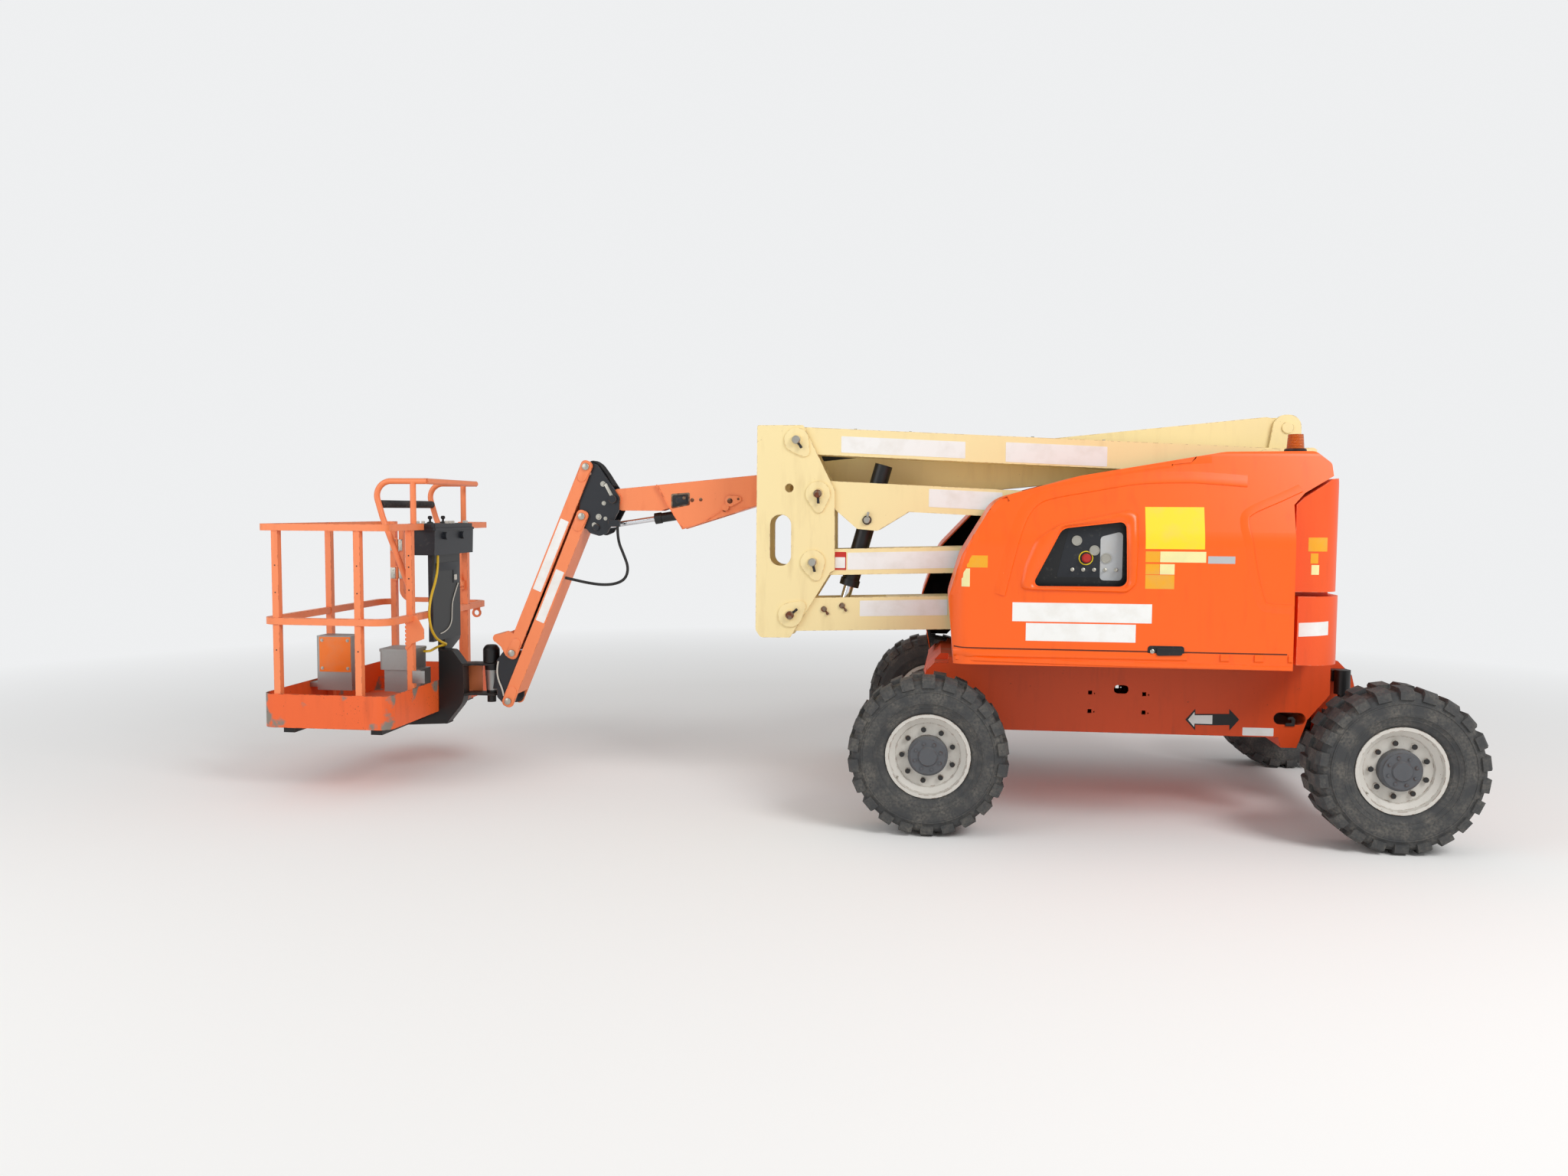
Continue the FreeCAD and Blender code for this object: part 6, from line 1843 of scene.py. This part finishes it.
    def posts(self) -> None:
        """The gusset and plates on the posts, and the gate's hinge leaves."""
        y = -0.4495
        teeth = [(-4.335, 0.832)]
        for step in range(8):
            low = 0.840 + step * 0.025
            teeth += [(-4.343, low + 0.006), (-4.343, low + 0.016), (-4.335, low + 0.020)]
        outline = teeth + [(-4.335, 1.045), (-4.268, 1.045), (-4.222, 0.962), (-4.222, 0.905),
                           (-4.295, 0.876)]
        for name, points, finish in (
            ("post_gusset", outline, BOOM_ORANGE),
            ("post_plate", panel(-4.300, -4.221, 0.632, 0.708), ALUMINIUM),
        ):
            mesh = slab(name, points, y - 0.006, y, Axis.Y, 0.0008)
            hang(name, mesh, finish, "platform")
        fork = slab("fork", panel(-4.150, -4.050, 0.5158, 0.6942), 0.047, 0.053, Axis.Y, 0.001)
        hang("fork_plate", fork, BOOM_ORANGE, "platform")
        for body, x0, x1, y in (("platform", -5.003, -4.967, 0.745),
                                ("platform_gate", -4.950, -4.914, 0.745)):
            leaves = [slab("leaf", panel(x0, x1, z, z + 0.08), y - 0.0025, y + 0.0002, Axis.Y,
                           0.0008) for z in (1.195, 1.395)]
            hang(body + "_hinge_leaves", joined("leaves", leaves), ZINC, body)
            screws(body + "_hinge_screws", body, ZINC, [
                (((x0 + x1) / 2, y - 0.0025, z + rise), 0.005, Facing.NEAR)
                for z in (1.195, 1.395) for rise in (0.02, 0.06)], 0.5, 1.2)

    def cable(self) -> None:
        """The free yellow cable and the white cable strapped to the column."""
        x = self.right
        route = [(x + 0.045, -0.185, 1.405), (x + 0.045, -0.185, 1.325),
                 (x + 0.050, -0.235, 1.240), (x + 0.054, -0.310, 1.160),
                 (x + 0.054, -0.350, 1.065), (x + 0.054, -0.330, 0.965),
                 (x + 0.054, -0.255, 0.890), (x + 0.058, -0.165, 0.852),
                 (x + 0.060, -0.105, 0.836), (x + 0.041, -0.072, 0.826),
                 (x + 0.003, -0.072, 0.818), (x - 0.010, -0.105, 0.810),
                 (x - 0.008, -0.160, 0.803), (x - 0.012, -0.205, 0.798),
                 (x - 0.045, -0.205, 0.798)]
        free = hose("cable_loop", route, 0.016, YELLOW_PLASTIC)
        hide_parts("platform_cable")
        settle(free, "platform")
        strapped = [(0.160, 1.209), (0.068, 1.107), (0.054, 1.047), (0.051, 0.956),
                    (-0.038, 0.909), (-0.124, 0.904)]
        line = [(-4.2570, y, z) for y, z in strapped]
        settle(hose("column_cable", line, 0.008, WHITE_CABLE), "platform")


@dataclass
class Studio:
    """Floor, lamps, world and camera.

    Attributes:
        eye: where the camera stands.
        yaw: its turn from +Y towards -X.
        pitch: how far it looks down.
        roll: its roll.
        focal_pixels: focal length in pixels of the photograph.
        image_width: the photograph's width in pixels.
        sensor: the sensor's width in millimetres.
        back_colour: the backdrop's colour.
        back_strength: how bright the backdrop is to the camera.
        world_strength: how bright the world is to the object.
        middle: the point that the floor fades about.
        floor_fades: how far from it the floor begins to fade.
        floor_gone: how far from it nothing but the backdrop is left.
    """

    eye: Point = (-1.1419, -7.3096, 1.6988)
    yaw: float = 0.127048
    pitch: float = 0.065447
    roll: float = 0.005681
    focal_pixels: float = 1552.71
    image_width: int = 2048
    sensor: float = 36.0
    back_colour: str = "#F4F5F6"
    back_strength: float = 0.95
    world_strength: float = 0.62
    middle: Point = (-1.8, 0.0, 0.0)
    floor_fades: float = 4.2
    floor_gone: float = 10.0

    def build(self) -> None:
        """Build the floor, light and camera."""
        self.camera()
        self.floor()
        self.world()
        self.lamps()
        bpy.context.scene.view_settings.view_transform = "Standard"

    def camera(self) -> None:
        """Place the camera at the photograph's viewpoint."""
        data = bpy.data.cameras.new("camera")
        data.sensor_width = self.sensor
        data.lens = self.focal_pixels / self.image_width * self.sensor
        data.clip_end = 200.0
        made = linked("camera", data)
        ahead = Vector((-math.sin(self.yaw) * math.cos(self.pitch),
                        math.cos(self.yaw) * math.cos(self.pitch), -math.sin(self.pitch)))
        level = Vector((math.cos(self.yaw), math.sin(self.yaw), 0.0))
        upright = level.cross(ahead)
        right = level * math.cos(self.roll) + upright * math.sin(self.roll)
        top = upright * math.cos(self.roll) - level * math.sin(self.roll)
        made.matrix_world = Matrix(((right.x, top.x, -ahead.x, self.eye[0]),
                                    (right.y, top.y, -ahead.y, self.eye[1]),
                                    (right.z, top.z, -ahead.z, self.eye[2]),
                                    (0.0, 0.0, 0.0, 1.0)))
        bpy.context.scene.camera = made

    def floor(self) -> None:
        """A pale floor that fades into the backdrop."""
        build = bmesh.new()
        bmesh.ops.create_grid(build, x_segments=1, y_segments=1, size=60.0)
        mesh = bpy.data.meshes.new("floor")
        build.to_mesh(mesh)
        build.free()
        material = bpy.data.materials.new("floor_pale")
        material.use_nodes = True
        tree = material.node_tree
        tree.nodes.clear()
        shader = add_node(tree, "ShaderNodeBsdfPrincipled",
                          feeds={"Base Color": "#F7F6F4", "Roughness": 0.9})
        far = add_node(tree, "ShaderNodeEmission", feeds={
            "Color": self.back_colour, "Strength": self.back_strength})
        place = add_node(tree, "ShaderNodeNewGeometry").outputs["Position"]
        away = add_node(tree, "ShaderNodeVectorMath", {"operation": "DISTANCE"},
                        {0: place, 1: self.middle})
        share = add_node(tree, RANGE, feeds={"Value": away, "From Min": self.floor_fades,
                                             "From Max": self.floor_gone})
        fade = add_node(tree, "ShaderNodeMixShader", feeds={0: share, 1: shader, 2: far})
        add_node(tree, "ShaderNodeOutputMaterial", feeds={"Surface": fade})
        mesh.materials.append(material)
        made = linked("floor", mesh)

    def world(self) -> None:
        """A pale world: soft light on the object, near white to the camera."""
        world = bpy.data.worlds.new("studio")
        bpy.context.scene.world = world
        world.use_nodes = True
        tree = world.node_tree
        tree.nodes.clear()
        path = add_node(tree, "ShaderNodeLightPath")
        seen = path.outputs["Is Camera Ray"]
        strength = add_node(tree, RANGE, feeds={
            "Value": seen, "To Min": self.world_strength, "To Max": self.back_strength})
        back = add_node(tree, "ShaderNodeBackground", feeds={
            "Color": self.back_colour, "Strength": strength})
        add_node(tree, "ShaderNodeOutputWorld", feeds={"Surface": back})

    def lamps(self) -> None:
        """A soft key from the upper right and a weak fill from the left."""
        for name, place, aim, size, power in (
            ("key", (5.0, -6.5, 7.5), (-1.2, 0.0, 1.0), 4.0, 520.0),
            ("fill", (-8.0, -6.0, 4.0), (-2.0, 0.0, 1.0), 5.0, 160.0),
        ):
            data = bpy.data.lights.new(name, "AREA")
            data.size = size
            data.energy = power
            made = linked(name, data)
            look = Vector(aim) - Vector(place)
            turn = look.to_track_quat("-Z", "Y").to_matrix().to_4x4()
            made.matrix_world = Matrix.Translation(place) @ turn


def main() -> None:
    """Load the model, dress it and set the stage."""
    logging.basicConfig(level=logging.INFO, format="%(name)s: %(message)s")
    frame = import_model()
    Studio().build()
    for assembly in (Wheels, Chassis, Turntable, Tower, MainBoom, Jib, Platform):
        assembly(frame["nodes"]).build()


if __name__ == "__main__":
    main()
